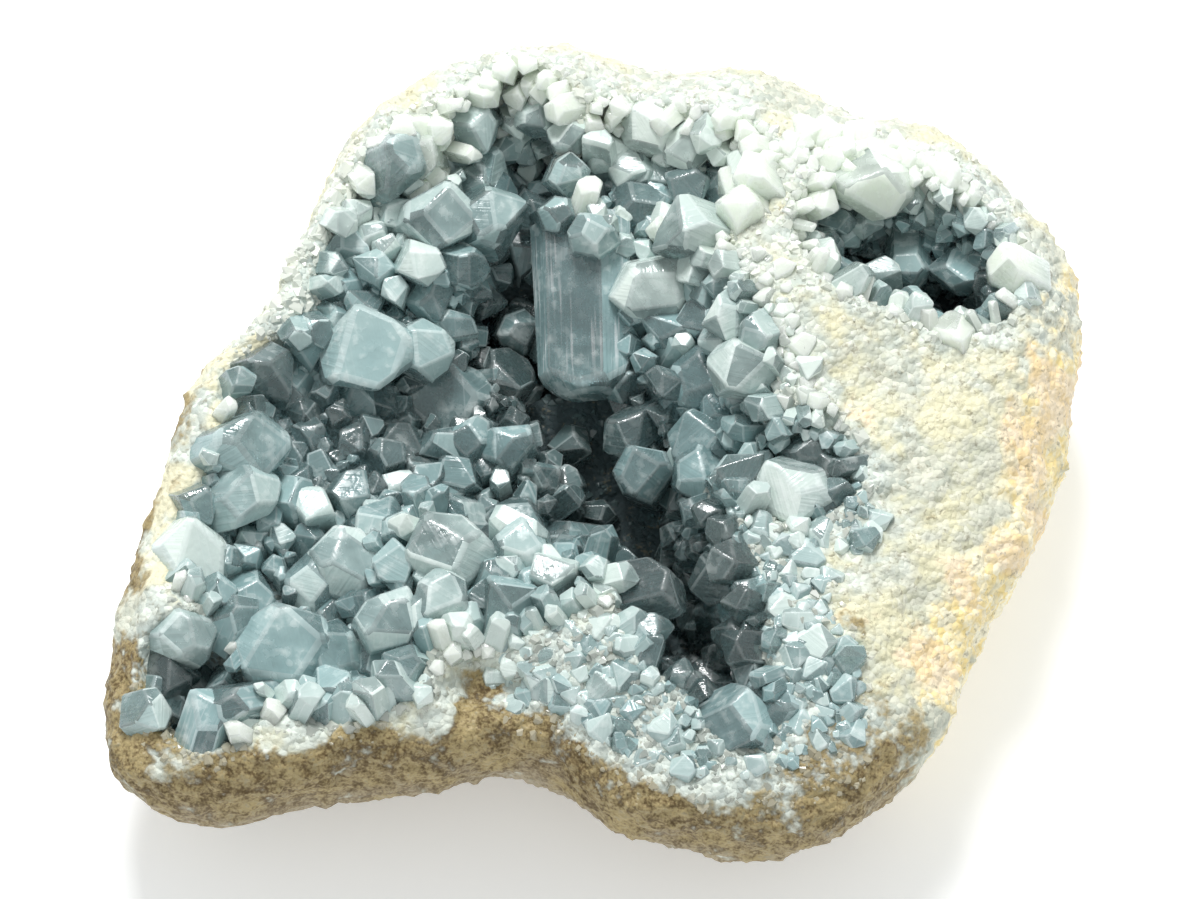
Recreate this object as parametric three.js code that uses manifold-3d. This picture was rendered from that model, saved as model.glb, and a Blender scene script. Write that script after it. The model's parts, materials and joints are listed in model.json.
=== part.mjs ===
// A celestite geode: a hollow piece of pale host rock, its cavities lined with blue crystals.
// It lies on a flat ground base with the open side up. Millimetres, +Z up, the lower front edge towards -Y.
import * as THREE from "three";
import { ConvexGeometry } from "three/addons/geometries/ConvexGeometry.js";
import { mergeVertices } from "three/addons/utils/BufferGeometryUtils.js";
import Module from "manifold-3d";

const wasm = await Module();
wasm.setup();

// Outline of the rock seen from straight above, anticlockwise from the right, x and y in mm
const OUTLINE = [
  [81, 21.5], [78.5, 39.3], [70, 51.5], [46.5, 62], [27.5, 71], [6, 70.3], [-15.5, 75], [-27, 71.6],
  [-36.2, 66], [-43.8, 60], [-50.5, 44], [-58, 23], [-69.5, 9.4], [-75, -7.8], [-80, -28.7],
  [-82.4, -51.6], [-78, -61.2], [-64.5, -65.3], [-51, -63], [-35, -59.7], [-18.5, -57.5], [-8, -60],
  [6, -69], [23, -72.8], [36.7, -70], [51.4, -59], [61, -39], [72.2, -20], [77, -0.7],
];
const WIDEST_HEIGHT = 26; // the rock is broadest this far above the surface it rests on
const CROWN_HEIGHT = 48; // top of the rim, on average
const CROWN_SLOPE = 0.13; // the rim rises towards the back, mm per mm
const BASE_SINK = 3; // how much of the rounded underside is ground away to make the flat base
const UNDERSIDE_CURVE = 2.2; // 2 is an ellipse, more is boxier
const SHOULDER_CURVE = 4.2; // the same for the rim's outer shoulder
const SLOPED_SHOULDER = { angle: -0.35, spread: 0.75, curve: 2.1 }; // the long slope down the right side
const LUMP = 1.3; // height of the rock's lumps
const FLOOR_HEIGHT = 9; // least height of a hollow's floor

// Hollows in the top of the rock: each runs from one point to another with a radius and a depth
const MAIN_HOLLOW = [
  { from: [-40, 26], to: [-27, 40], radius: 17, depth: 13 }, // shelf at the back left
  { from: [-46, 8], to: [-42, -8], radius: 19, depth: 17 },
  { from: [-58, -20], to: [-44, -38], radius: 17, depth: 12 }, // shelf at the front left
  { from: [-38, -32], to: [-10, -26], radius: 13, depth: 8 }, // and on along the front
  { from: [-30, 12], to: [-12, -8], radius: 22, depth: 22 },
  { from: [-16, 54], to: [-14, 26], radius: 11, depth: 30 }, // the deep gully
  { from: [-14, 26], to: [4, -6], radius: 15, depth: 33 },
  { from: [4, -6], to: [15, -38], radius: 11, depth: 33 },
  { from: [15, -38], to: [23, -52], radius: 7, depth: 19 }, // its narrow end at the front
  { from: [2, 47], to: [18, 43], radius: 11, depth: 14 },
  { from: [4, 26], to: [12, 6], radius: 17, depth: 19 },
  { from: [18, -6], to: [32, -10], radius: 10, depth: 10 },
  { from: [-69, -46], to: [-65, -50], radius: 9, depth: 27 }, // pocket in the front left corner
];
const SIDE_VUG = [{ from: [46, 33], to: [58, 29], radius: 13, depth: 31 }];
const FRONT_NOTCH = [{ from: [-19, -50], to: [-18, -62], radius: 8, depth: 4.5 }];
const FLOOR_SHARE = 0.45; // share of a hollow's radius that is floor
const RIM_SHARE = [0.82, 0.97]; // the hollows fade out over this part of the way to the outline

const LINING = 2.6; // thickness of the crystal crust between its crystals
const GAP = 0.45; // gap between the crust and the rock, measured straight up
const INSET = 0.97; // away from the hollows the lining's surface is drawn in to this share of the rock
const SUNK = -4; // and lies this far below the rock's upper surface

// Nets of rings that the surfaces are laid on. top and side: rings over the top and down the side.
// turns: points round the rings that lie within each share of the way out to the outline.
const ROCK_NET = { top: 16, side: 4, turns: [[0.2, 11], [0.5, 22], [1, 44]] };
const LINING_NET = { top: 12, side: 2, turns: [[0.15, 11], [1, 22]] };
const RING_CROWDING = 1.45; // above 1 the rings crowd towards the widest line

// Crystals picked out by eye. tip: middle of the end face. lean: direction of growth.
// half: half the width across and through. turn: about the axis, degrees. blunt: size of the end face.
const MAIN_CRYSTALS = [
  { tip: [-3.4, 11, 30], lean: [0.02, -0.88, -0.25], half: [8, 5.4], turn: 14, blunt: 0.62, sides: 8, ends: 7 },
  { tip: [-2, 33, 48], lean: [0, -0.35, 0.8], half: [4.2, 4], turn: 20, blunt: 0.45 },
  { tip: [9, 24, 44], lean: [0.15, -0.5, 0.75], half: [7.5, 5.5], turn: 35, blunt: 0.6 },
  { tip: [-40, 13, 42], lean: [0.1, -0.5, 0.85], half: [8.8, 7.4], turn: 12, blunt: 0.75 },
  { tip: [-29.5, 15, 40], lean: [0.3, -0.4, 0.8], half: [4.6, 5.6], turn: 60, blunt: 0.6 },
  { tip: [-26, 11, 30], lean: [0.1, -0.35, 0.9], half: [7.8, 6.4], turn: 5, blunt: 0.75 },
  { tip: [-23, 1, 33], lean: [-0.2, -0.4, 0.85], half: [4.4, 3.2], turn: 70, blunt: 0.6 },
  { tip: [-17, 38, 46], lean: [0.5, -0.3, 0.8], half: [6.4, 5.4], turn: 30, blunt: 0.5 },
  { tip: [-27, 37, 48], lean: [0.3, -0.3, 0.9], half: [6.4, 5.4], turn: 0, blunt: 0.6 },
  { tip: [-33, 46, 52], lean: [0.5, -0.2, 0.75], half: [7.2, 3.8], turn: 85, blunt: 0.5 },
  { tip: [-11.5, 42, 36], lean: [0.1, -0.6, 0.6], half: [3.4, 4], turn: 15, blunt: 0.4 },
  { tip: [-14, 25, 28], lean: [0.2, -0.4, 0.7], half: [4, 4.2], turn: 40, blunt: 0.5 },
  { tip: [-57, -6, 44], lean: [0.6, -0.2, 0.7], half: [7.6, 5.4], turn: 10, blunt: 0.7 },
  { tip: [-56, -14, 42], lean: [0.7, -0.2, 0.6], half: [6, 4.8], turn: 50, blunt: 0.6 },
  { tip: [-66, -26, 41], lean: [0.45, -0.3, 0.8], half: [6.6, 6.4], turn: 25, blunt: 0.65 },
  { tip: [-42, -26, 40], lean: [0.2, -0.3, 0.9], half: [5.6, 6.6], turn: 20, blunt: 0.65 },
  { tip: [-49, -29, 37], lean: [-0.1, -0.4, 0.85], half: [5.6, 5], turn: 75, blunt: 0.55 },
  { tip: [-58, -31, 36], lean: [0.3, -0.2, 0.9], half: [3.8, 7], turn: 10, blunt: 0.6 },
  { tip: [-52.5, -43, 40], lean: [0.05, -0.4, 0.9], half: [8.8, 8.2], turn: 15, blunt: 0.75 },
  { tip: [-44, -42, 38], lean: [0.3, -0.3, 0.9], half: [5, 6.4], turn: 50, blunt: 0.6 },
  { tip: [-45, -33, 34], lean: [0.1, -0.3, 0.9], half: [3.8, 3.8], turn: 0, blunt: 0.45 },
  { tip: [-66, -40, 41], lean: [0.6, -0.3, 0.75], half: [5.4, 4.6], turn: 35, blunt: 0.6 },
  { tip: [-72, -52, 37], lean: [0.7, -0.1, 0.6], half: [3.4, 4], turn: 5, blunt: 0.6 },
  { tip: [-26.5, -27, 46], lean: [-0.1, -0.3, 0.9], half: [7, 7.2], turn: 30, blunt: 0.6 },
  { tip: [-13, -25, 44], lean: [0.2, -0.2, 0.9], half: [4.6, 5.2], turn: 5, blunt: 0.5 },
  { tip: [-27, -35.5, 45], lean: [0, -0.3, 0.85], half: [4.8, 4.4], turn: 60, blunt: 0.6 },
  { tip: [-35, -39, 44], lean: [0.1, -0.3, 0.9], half: [5.4, 5], turn: 40, blunt: 0.6 },
  { tip: [-2, -17, 28], lean: [0.5, -0.3, 0.6], half: [4.2, 5.4], turn: 80, blunt: 0.5 },
  { tip: [6, -6, 34], lean: [-0.1, -0.4, 0.85], half: [5.2, 4.6], turn: 20, blunt: 0.6 },
  { tip: [15, -7, 36], lean: [-0.3, -0.3, 0.85], half: [4.6, 5.2], turn: 55, blunt: 0.55 },
  { tip: [29, -17, 44], lean: [-0.4, -0.5, 0.7], half: [7, 5.4], turn: 10, blunt: 0.7 },
  { tip: [15, 10, 39], lean: [-0.3, -0.3, 0.85], half: [5.4, 5], turn: 65, blunt: 0.5 },
  { tip: [7, 52, 50], lean: [-0.1, -0.6, 0.7], half: [5.4, 5], turn: 30, blunt: 0.6 },
  { tip: [14, 49, 49], lean: [-0.1, -0.6, 0.65], half: [4.6, 4], turn: 0, blunt: 0.5 },
  { tip: [-1, 50, 46], lean: [-0.2, -0.6, 0.6], half: [4, 4.4], turn: 45, blunt: 0.4 },
  { tip: [-21, 55, 47], lean: [0.4, -0.5, 0.6], half: [5, 4.6], turn: 15, blunt: 0.5 },
  { tip: [-12, 57, 47], lean: [-0.1, -0.6, 0.6], half: [4.6, 4], turn: 50, blunt: 0.45 },
  { tip: [24, -52, 38], lean: [-0.5, -0.2, 0.8], half: [7.6, 5], turn: 10, blunt: 0.65 },
  { tip: [7, -40, 33], lean: [0.75, 0, 0.5], half: [4.6, 5], turn: 30, blunt: 0.6 },
  { tip: [20, -33, 37], lean: [-0.7, -0.1, 0.6], half: [4.6, 4], turn: 75, blunt: 0.5 },
];
const VUG_CRYSTALS = [
  { tip: [47, 39, 50], lean: [0.2, -0.75, 0.45], half: [7.6, 4.6], turn: 0, blunt: 0.7 },
  { tip: [52, 31, 36], lean: [-0.05, -0.7, 0.35], half: [3.6, 3.8], turn: 45, blunt: 0.4 },
  { tip: [48, 32, 34], lean: [-0.2, -0.5, 0.6], half: [3.4, 3.8], turn: 10, blunt: 0.5 },
  { tip: [59, 31, 37], lean: [-0.4, -0.5, 0.5], half: [4.4, 4.4], turn: 70, blunt: 0.5 },
  { tip: [58, 17, 46], lean: [-0.2, 0.3, 0.8], half: [4.6, 3.8], turn: 20, blunt: 0.6 },
  { tip: [66, 28, 47], lean: [-0.6, 0, 0.6], half: [4, 4.4], turn: 60, blunt: 0.6 },
  { tip: [40, 34, 42], lean: [0.6, -0.2, 0.5], half: [3.6, 3.2], turn: 30, blunt: 0.5 },
];
// Crystals that fill in between, scattered by a fixed seed. spread: how far apart, as a share of their widths.
const MAIN_FILL = { count: 54, seed: 23, half: [3.5, 5.6], spread: 1.12, bounds: [-78, 46, -62, 66] };
const VUG_FILL = { count: 11, seed: 5, half: [2.4, 3.6], spread: 1, bounds: [28, 78, 10, 50] };
const FILL_HEIGHT = [0.8, 1.7]; // how far they stand out, as shares of their half width
const GROW = { square: 0.8, upward: [0, -0.18, 0.4], wander: 0.35 }; // what sets a crystal's lean
const LARGE = { sides: 6, ends: 4 }; // faces along the prism and on the end
const SMALL = { sides: 5, ends: 3 };
const BURIED = 0.9; // depth of a root in the rock, as a share of the crystal's half width
const LONGEST = 45;
const SHALLOWEST = 4.5; // least depth of a hollow at which a small crystal grows
const SHORTEST_EDGE = 0.15;

const TAU = 2 * Math.PI;
const mix = (a, b, t) => a + (b - a) * t;
const clamp01 = (t) => Math.min(1, Math.max(0, t));
const smooth = (low, high, t) => {
  const k = clamp01((t - low) / (high - low));
  return k * k * (3 - 2 * k);
};

// Repeatable random numbers from 0 to 1
function randomFrom(seed) {
  let state = seed >>> 0;
  return () => {
    state = (Math.imul(state, 1664525) + 1013904223) >>> 0;
    return state / 4294967296;
  };
}

// Distance from the middle to the outline in a direction, as a smooth closed curve through the outline's points
const corners = OUTLINE.map(([x, y]) => ({ angle: (Math.atan2(y, x) + TAU) % TAU, r: Math.hypot(x, y) }))
  .sort((a, b) => a.angle - b.angle);
function reach(angle) {
  const n = corners.length;
  const a = ((angle % TAU) + TAU) % TAU;
  let i = corners.findIndex((c) => c.angle > a);
  if (i < 0) i = n;
  const at = (k) => {
    const turn = Math.floor(k / n);
    const c = corners[k - turn * n];
    return { angle: c.angle + turn * TAU, r: c.r };
  };
  const [p0, p1, p2, p3] = [at(i - 2), at(i - 1), at(i), at(i + 1)];
  const span = p2.angle - p1.angle;
  const t = (a - p1.angle) / span;
  const m1 = ((p2.r - p0.r) / (p2.angle - p0.angle)) * span;
  const m2 = ((p3.r - p1.r) / (p3.angle - p1.angle)) * span;
  const t2 = t * t;
  const t3 = t2 * t;
  return (2 * t3 - 3 * t2 + 1) * p1.r + (t3 - 2 * t2 + t) * m1 + (3 * t2 - 2 * t3) * p2.r + (t3 - t2) * m2;
}

// Smooth rolling lumps, about one unit high, from waves in different directions
function lumps(x, y, z, size) {
  let sum = 0;
  for (let k = 1; k <= 6; k++) {
    const along = x * Math.cos(2.4 * k) + y * Math.sin(2.4 * k) + z * Math.cos(1.7 * k);
    sum += Math.sin((along * (1 + 0.23 * k)) / size + 1.9 * k);
  }
  return sum / 3;
}

// Depth of a set of hollows below the rim at a point. None cuts through the rim.
function depthOf(hollows, x, y) {
  const s = Math.hypot(x, y) / reach(Math.atan2(y, x));
  let sum = 0;
  for (const { from, to, radius, depth } of hollows) {
    const [dx, dy] = [to[0] - from[0], to[1] - from[1]];
    const t = clamp01(((x - from[0]) * dx + (y - from[1]) * dy) / (dx * dx + dy * dy));
    const away = Math.hypot(x - from[0] - t * dx, y - from[1] - t * dy) / radius;
    sum += (depth * (1 - smooth(FLOOR_SHARE, 1.15, away))) ** 4;
  }
  return sum ** 0.25 * (1 - smooth(RIM_SHARE[0], RIM_SHARE[1], s));
}
const ALL_HOLLOWS = [...MAIN_HOLLOW, ...SIDE_VUG, ...FRONT_NOTCH];

// The rock's upper surface at a share s of the way out to the outline
function topHeight(x, y) {
  const angle = Math.atan2(y, x);
  const s = Math.min(1, Math.hypot(x, y) / reach(angle));
  const turned = Math.atan2(Math.sin(angle - SLOPED_SHOULDER.angle), Math.cos(angle - SLOPED_SHOULDER.angle));
  const sloped = Math.exp(-((turned / SLOPED_SHOULDER.spread) ** 2));
  const curve = mix(SHOULDER_CURVE, SLOPED_SHOULDER.curve, sloped);
  const dome = (1 - s ** curve) ** (1 / curve);
  const crown = CROWN_HEIGHT + CROWN_SLOPE * y + LUMP * lumps(x, y, 0, 11);
  const open = depthOf(ALL_HOLLOWS, x, y);
  return WIDEST_HEIGHT + (crown - WIDEST_HEIGHT) * dome - Math.min(open, (crown - FLOOR_HEIGHT) * 0.92);
}

// The underside at a share s of the way out
function underHeight(s) {
  const round = (1 - s ** UNDERSIDE_CURVE) ** (1 / UNDERSIDE_CURVE);
  return Math.max(0, WIDEST_HEIGHT - (WIDEST_HEIGHT + BASE_SINK) * round);
}
const FLAT_SHARE = (1 - (WIDEST_HEIGHT / (WIDEST_HEIGHT + BASE_SINK)) ** UNDERSIDE_CURVE) ** (1 / UNDERSIDE_CURVE);

// The rock as a closed surface: a net of rings over the top, round the side and across the base.
// lift(x, y) raises the upper surface and inset draws the sides and base in, which shapes the lining.
function rockGeometry(net = ROCK_NET, lift = () => 0, inset = 1) {
  const floor = 1 - inset;
  const points = [[0, 0, topHeight(0, 0) + lift(0, 0)]];
  const rings = [];
  const addRing = (s, top) => {
    const [, turns] = top ? net.turns.find(([share]) => s <= share) : net.turns.at(-1);
    rings.push({ start: points.length, turns });
    for (let i = 0; i < turns; i++) {
      const angle = (i / turns) * TAU;
      const r = s * reach(angle);
      const [x, y] = [r * Math.cos(angle), r * Math.sin(angle)];
      const z = top ? topHeight(x, y) : underHeight(s);
      const bulge = LUMP * lumps(x, y, z, 9) * smooth(0.75, 1, s);
      const side = mix(1, inset, smooth(0.9, 1, s));
      const raised = top && s < 1 ? z + lift(x, y) : z + floor * (WIDEST_HEIGHT - z);
      points.push([(x + bulge * Math.cos(angle)) * side, (y + bulge * Math.sin(angle)) * side, raised]);
    }
  };
  for (let j = 1; j <= net.top; j++) addRing(1 - (1 - j / net.top) ** RING_CROWDING, true);
  for (let j = 1; j <= net.side; j++) addRing(mix(1, FLAT_SHARE, (j / net.side) ** 1.5), false);
  points.push([0, 0, floor * WIDEST_HEIGHT]);

  const faces = [];
  const [first, last] = [rings[0], rings[rings.length - 1]];
  for (let i = 0; i < first.turns; i++) faces.push(0, first.start + i, first.start + ((i + 1) % first.turns));
  for (let j = 1; j < rings.length; j++) faces.push(...bandFaces(rings[j - 1], rings[j]));
  for (let i = 0; i < last.turns; i++) {
    faces.push(last.start + i, points.length - 1, last.start + ((i + 1) % last.turns));
  }
  const geometry = new THREE.BufferGeometry();
  geometry.setAttribute("position", new THREE.Float32BufferAttribute(points.flat(), 3));
  geometry.setIndex(faces);
  return geometry;
}

// Triangles between a ring and the next one out, which has as many points or twice as many
function bandFaces(inner, outer) {
  const faces = [];
  const a = (i) => inner.start + (i % inner.turns);
  const b = (i) => outer.start + (i % outer.turns);
  const double = outer.turns > inner.turns;
  for (let i = 0; i < inner.turns; i++) {
    if (double) faces.push(a(i), b(2 * i), b(2 * i + 1), a(i), b(2 * i + 1), a(i + 1), a(i + 1), b(2 * i + 1), b(2 * i + 2));
    else faces.push(a(i), b(i), b(i + 1), a(i), b(i + 1), a(i + 1));
  }
  return faces;
}

// Corner points of the solid that lies behind every one of a set of planes
function cornersOf(planes) {
  const found = [];
  const matrix = new THREE.Matrix3();
  for (let i = 0; i < planes.length; i++) {
    for (let j = i + 1; j < planes.length; j++) {
      for (let k = j + 1; k < planes.length; k++) {
        const [a, b, c] = [planes[i], planes[j], planes[k]];
        matrix.set(a.n.x, a.n.y, a.n.z, b.n.x, b.n.y, b.n.z, c.n.x, c.n.y, c.n.z);
        if (Math.abs(matrix.determinant()) < 1e-3) continue;
        const p = new THREE.Vector3(a.d, b.d, c.d).applyMatrix3(matrix.invert());
        const inside = planes.every((q) => q.n.dot(p) < q.d + 1e-5);
        if (inside && found.every((f) => f.distanceTo(p) > SHORTEST_EDGE)) found.push(p);
      }
    }
  }
  return found;
}

// Length of a crystal from its tip back into the rock
function rootedLength(tip, axis, half) {
  let length = 1;
  const below = () => tip[2] - length * axis.z < topHeight(tip[0] - length * axis.x, tip[1] - length * axis.y);
  while (length < LONGEST && !below()) length += 0.5;
  return length + BURIED * half;
}

// One crystal: a prism with sloping faces and a small flat one at its free end, its root in the rock
function crystalGeometry({ tip, lean, half, turn, blunt, sides, ends }, random) {
  const planes = [];
  const facing = (degrees, slope, d) => {
    const a = (degrees * Math.PI) / 180;
    const n = new THREE.Vector3(Math.cos(a) * Math.sin(slope), Math.sin(a) * Math.sin(slope), Math.cos(slope));
    planes.push({ n, d });
  };
  const widthAt = (degrees) => {
    const a = (degrees * Math.PI) / 180;
    return Math.hypot(half[0] * Math.cos(a), half[1] * Math.sin(a));
  };
  for (let i = 0; i < sides; i++) {
    const degrees = ((i + 0.5 * (random() - 0.5)) * 360) / sides;
    facing(degrees, Math.PI / 2 - 0.06 * random(), widthAt(degrees) * mix(0.84, 1, random()));
  }
  for (let i = 0; i < ends; i++) {
    const degrees = ((i + 0.5 + 0.5 * (random() - 0.5)) * 360) / ends;
    const slope = mix(0.6, 1.05, random());
    facing(degrees, slope, widthAt(degrees) * blunt * mix(0.6, 1.1, random()) * Math.sin(slope));
  }
  facing(360 * random(), 0.2 * random(), 0);
  const axis = new THREE.Vector3(...lean).normalize();
  planes.push({ n: new THREE.Vector3(0, 0, -1), d: rootedLength(tip, axis, half[0]) });
  const place = new THREE.Quaternion().setFromUnitVectors(new THREE.Vector3(0, 0, 1), axis);
  const spin = new THREE.Quaternion().setFromAxisAngle(new THREE.Vector3(0, 0, 1), (turn * Math.PI) / 180);
  const matrix = new THREE.Matrix4().compose(
    new THREE.Vector3(...tip), place.multiply(spin), new THREE.Vector3(1, 1, 1));
  return new ConvexGeometry(cornersOf(planes).map((p) => p.applyMatrix4(matrix)));
}

// Small crystals scattered over a hollow's surface between the large ones, growing mostly square to it
function fillCrystals({ count, seed, half, spread, bounds }, hollows, large) {
  const random = randomFrom(seed);
  const placed = [];
  const nearLarge = (foot, size) => large.some(({ tip, lean, half: wide }) => {
    const from = new THREE.Vector3(...foot).sub(new THREE.Vector3(...tip));
    const axis = new THREE.Vector3(...lean).normalize();
    const along = Math.min(0, from.dot(axis));
    return from.addScaledVector(axis, -along).length() < 0.8 * (wide[1] + 0.5 * size);
  });
  for (let tries = 0; placed.length < count && tries < 30000; tries++) {
    const x = mix(bounds[0], bounds[1], random());
    const y = mix(bounds[2], bounds[3], random());
    const size = mix(half[0], half[1], random() ** 1.5);
    const stray = [random(), random(), random()].map((v) => GROW.wander * (2 * v - 1));
    if (depthOf(hollows, x, y) < SHALLOWEST) continue;
    const foot = [x, y, topHeight(x, y)];
    const crowded = ({ foot: f, half: h }) =>
      Math.hypot(f[0] - foot[0], f[1] - foot[1], f[2] - foot[2]) < spread * (size + h[0]);
    if (placed.some(crowded) || nearLarge(foot, size)) continue;
    const lean = squareTo(x, y).multiplyScalar(GROW.square)
      .add(new THREE.Vector3(...GROW.upward)).add(new THREE.Vector3(...stray)).normalize();
    const height = size * mix(...FILL_HEIGHT, random()) + LINING;
    placed.push({
      foot,
      tip: foot.map((v, k) => v + lean.getComponent(k) * height),
      lean: lean.toArray(),
      half: [size, size * mix(0.65, 1, random())],
      turn: 180 * random(),
      blunt: mix(0.35, 0.85, random()),
    });
  }
  return placed;
}

// Direction square to the upper surface at a point
function squareTo(x, y) {
  const step = 1.5;
  const slopeX = (topHeight(x + step, y) - topHeight(x - step, y)) / (2 * step);
  const slopeY = (topHeight(x, y + step) - topHeight(x, y - step)) / (2 * step);
  return new THREE.Vector3(-slopeX, -slopeY, 1).normalize();
}

function solidOf(geometry) {
  const bare = new THREE.BufferGeometry();
  bare.setAttribute("position", geometry.getAttribute("position"));
  bare.setIndex(geometry.index);
  const merged = mergeVertices(bare, 1e-3);
  return new wasm.Manifold(new wasm.Mesh({
    numProp: 3,
    vertProperties: merged.attributes.position.array,
    triVerts: new Uint32Array(merged.index.array),
  }));
}

function geometryOf(solid) {
  const { vertProperties, triVerts } = solid.getMesh();
  const geometry = new THREE.BufferGeometry();
  geometry.setAttribute("position", new THREE.BufferAttribute(vertProperties, 3));
  geometry.setIndex(new THREE.BufferAttribute(triVerts, 1));
  return geometry;
}

// A hollow's crust: a thin lining over its surface with every crystal joined to it, trimmed to the rock
const trimmer = solidOf(rockGeometry(ROCK_NET, () => GAP));
function crustGeometry(hollows, large, fill, seed) {
  const random = randomFrom(seed);
  const lift = (x, y) => mix(SUNK, GAP + LINING, smooth(1.5, 4.5, depthOf(hollows, x, y)));
  let crust = solidOf(rockGeometry(LINING_NET, lift, INSET));
  for (const crystal of large) crust = crust.add(solidOf(crystalGeometry({ ...LARGE, ...crystal }, random)));
  for (const crystal of fillCrystals(fill, hollows, large)) {
    crust = crust.add(solidOf(crystalGeometry({ ...SMALL, ...crystal }, random)));
  }
  const bodies = crust.subtract(trimmer).decompose();
  return geometryOf(bodies.reduce((a, b) => (a.volume() > b.volume() ? a : b)));
}

const paleStone = new THREE.MeshStandardMaterial({ color: 0xcfd3c0, roughness: 0.75, metalness: 0 });
const blueCrystal = new THREE.MeshStandardMaterial({ color: 0x8fa9b2, roughness: 0.15, metalness: 0 });

const geode = new THREE.Group();
function addPiece(name, geometry, material) {
  const mesh = new THREE.Mesh(geometry, material);
  mesh.name = name;
  geode.add(mesh);
}

const rock = rockGeometry();
addPiece("host_rock", rock, paleStone);
addPiece("main_hollow_crystals", crustGeometry(MAIN_HOLLOW, MAIN_CRYSTALS, MAIN_FILL, 3), blueCrystal);
addPiece("side_vug_crystals", crustGeometry(SIDE_VUG, VUG_CRYSTALS, VUG_FILL, 7), blueCrystal);

// The origin lies on the ground under the middle of the rock
rock.computeBoundingBox();
const middle = rock.boundingBox.getCenter(new THREE.Vector3());
geode.position.set(-middle.x, -middle.y, 0);

export default geode;
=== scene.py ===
# A chunk of a celestite geode, open side up: pale host rock whose two hollows are lined with blue crystals.
# It rests on a pale floor in soft studio light, seen from above at the photograph's angle.
import json
import math
from itertools import combinations

import bmesh
import bpy
import numpy as np
from mathutils import Matrix, Vector

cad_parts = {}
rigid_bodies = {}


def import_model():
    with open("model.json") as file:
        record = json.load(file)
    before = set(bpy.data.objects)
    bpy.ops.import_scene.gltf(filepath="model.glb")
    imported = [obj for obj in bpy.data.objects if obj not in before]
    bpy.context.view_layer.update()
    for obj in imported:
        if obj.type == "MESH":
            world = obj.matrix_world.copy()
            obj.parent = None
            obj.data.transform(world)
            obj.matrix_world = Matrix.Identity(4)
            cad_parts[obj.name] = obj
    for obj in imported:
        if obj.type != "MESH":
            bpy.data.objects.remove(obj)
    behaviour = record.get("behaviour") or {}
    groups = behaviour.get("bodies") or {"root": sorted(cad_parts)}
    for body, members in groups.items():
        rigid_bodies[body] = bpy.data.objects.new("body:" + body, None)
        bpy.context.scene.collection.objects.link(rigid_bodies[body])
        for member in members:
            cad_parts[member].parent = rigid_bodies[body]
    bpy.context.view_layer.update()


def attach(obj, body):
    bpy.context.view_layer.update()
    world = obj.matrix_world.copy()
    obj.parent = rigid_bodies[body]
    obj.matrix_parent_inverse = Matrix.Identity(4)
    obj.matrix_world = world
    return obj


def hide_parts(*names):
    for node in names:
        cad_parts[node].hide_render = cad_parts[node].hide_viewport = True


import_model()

scene = bpy.context.scene

# The view. The camera looks down on the open side at about 60 degrees through a long lens, and the
# photograph's frame is 1200 by 899 pixels with the rock 958 of them across.
PHOTO_WIDTH = 1200
ROCK_PIXELS = 958
ROCK_WIDTH = 0.165
LENS, SENSOR = 150, 36
NEAR_CLIP, FAR_CLIP = 0.01, 10
LOOKING_DOWN = math.radians(60)
AIM = Vector((-0.00086, 0.0166, -0.00028))
WIDEST_LINE = 0.026

camera = bpy.data.cameras.new("camera")
camera.lens = LENS
camera.sensor_width = SENSOR
camera.clip_start = NEAR_CLIP
camera.clip_end = FAR_CLIP
camera_object = bpy.data.objects.new("camera", camera)
scene.collection.objects.link(camera_object)
scene.camera = camera_object
back = Vector((0, -math.cos(LOOKING_DOWN), math.sin(LOOKING_DOWN)))
distance = PHOTO_WIDTH * ROCK_WIDTH / ROCK_PIXELS * LENS / SENSOR + WIDEST_LINE * math.sin(LOOKING_DOWN)
camera_object.location = AIM + back * distance
camera_object.rotation_euler = (-back).to_track_quat("-Z", "Y").to_euler()
scene.view_settings.view_transform = "Standard"


# The light. A pale even surround stands for a light tent, with one lamp above and behind that also makes
# single facets flash white.
TENT_COLOUR, TENT_STRENGTH = (0.97, 1, 1, 1), 0.68
LAMP_PLACE = (-0.08, 0.4, 0.78)
LAMP_SIZE = 0.28
LAMP_POWER = 6.8
world = bpy.data.worlds.new("light tent")
world.use_nodes = True
tent = world.node_tree.nodes["Background"]
tent.inputs["Color"].default_value = TENT_COLOUR
tent.inputs["Strength"].default_value = TENT_STRENGTH
scene.world = world
light = bpy.data.lights.new("lamp", "AREA")
light.size = LAMP_SIZE
light.energy = LAMP_POWER
lamp = bpy.data.objects.new("lamp", light)
lamp.location = LAMP_PLACE
lamp.rotation_euler = (-Vector(LAMP_PLACE)).to_track_quat("-Z", "Y").to_euler()
scene.collection.objects.link(lamp)


# The host rock: one lump of massive celestite and marl, rounded by weather outside. Its form is a net of
# rings laid over an outline, with the hollows sunk into the top. Sizes are in mm until the mesh is made.
OUTLINE = [
    (81, 21.5), (78.5, 39.3), (70, 51.5), (46.5, 62), (27.5, 71), (6, 70.3), (-15.5, 75), (-27, 71.6),
    (-36.2, 66), (-43.8, 60), (-50.5, 44), (-58, 23), (-69.5, 9.4), (-75, -7.8), (-80, -28.7),
    (-82.4, -51.6), (-78, -61.2), (-64.5, -65.3), (-51, -63), (-35, -59.7), (-18.5, -57.5), (-8, -60),
    (6, -69), (23, -72.8), (36.7, -70), (51.4, -59), (61, -39), (72.2, -20), (77, -0.7),
]
WIDEST_HEIGHT = 26
CROWN_HEIGHT = 48
CROWN_SLOPE = 0.13
BASE_SINK = 3
UNDERSIDE_CURVE = 2.2
SHOULDER_CURVE = 4.2
SLOPED_ANGLE, SLOPED_SPREAD, SLOPED_CURVE = -0.35, 0.75, 2.1
LUMP, TOP_LUMPS, SIDE_LUMPS = 1.3, 11, 9
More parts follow.
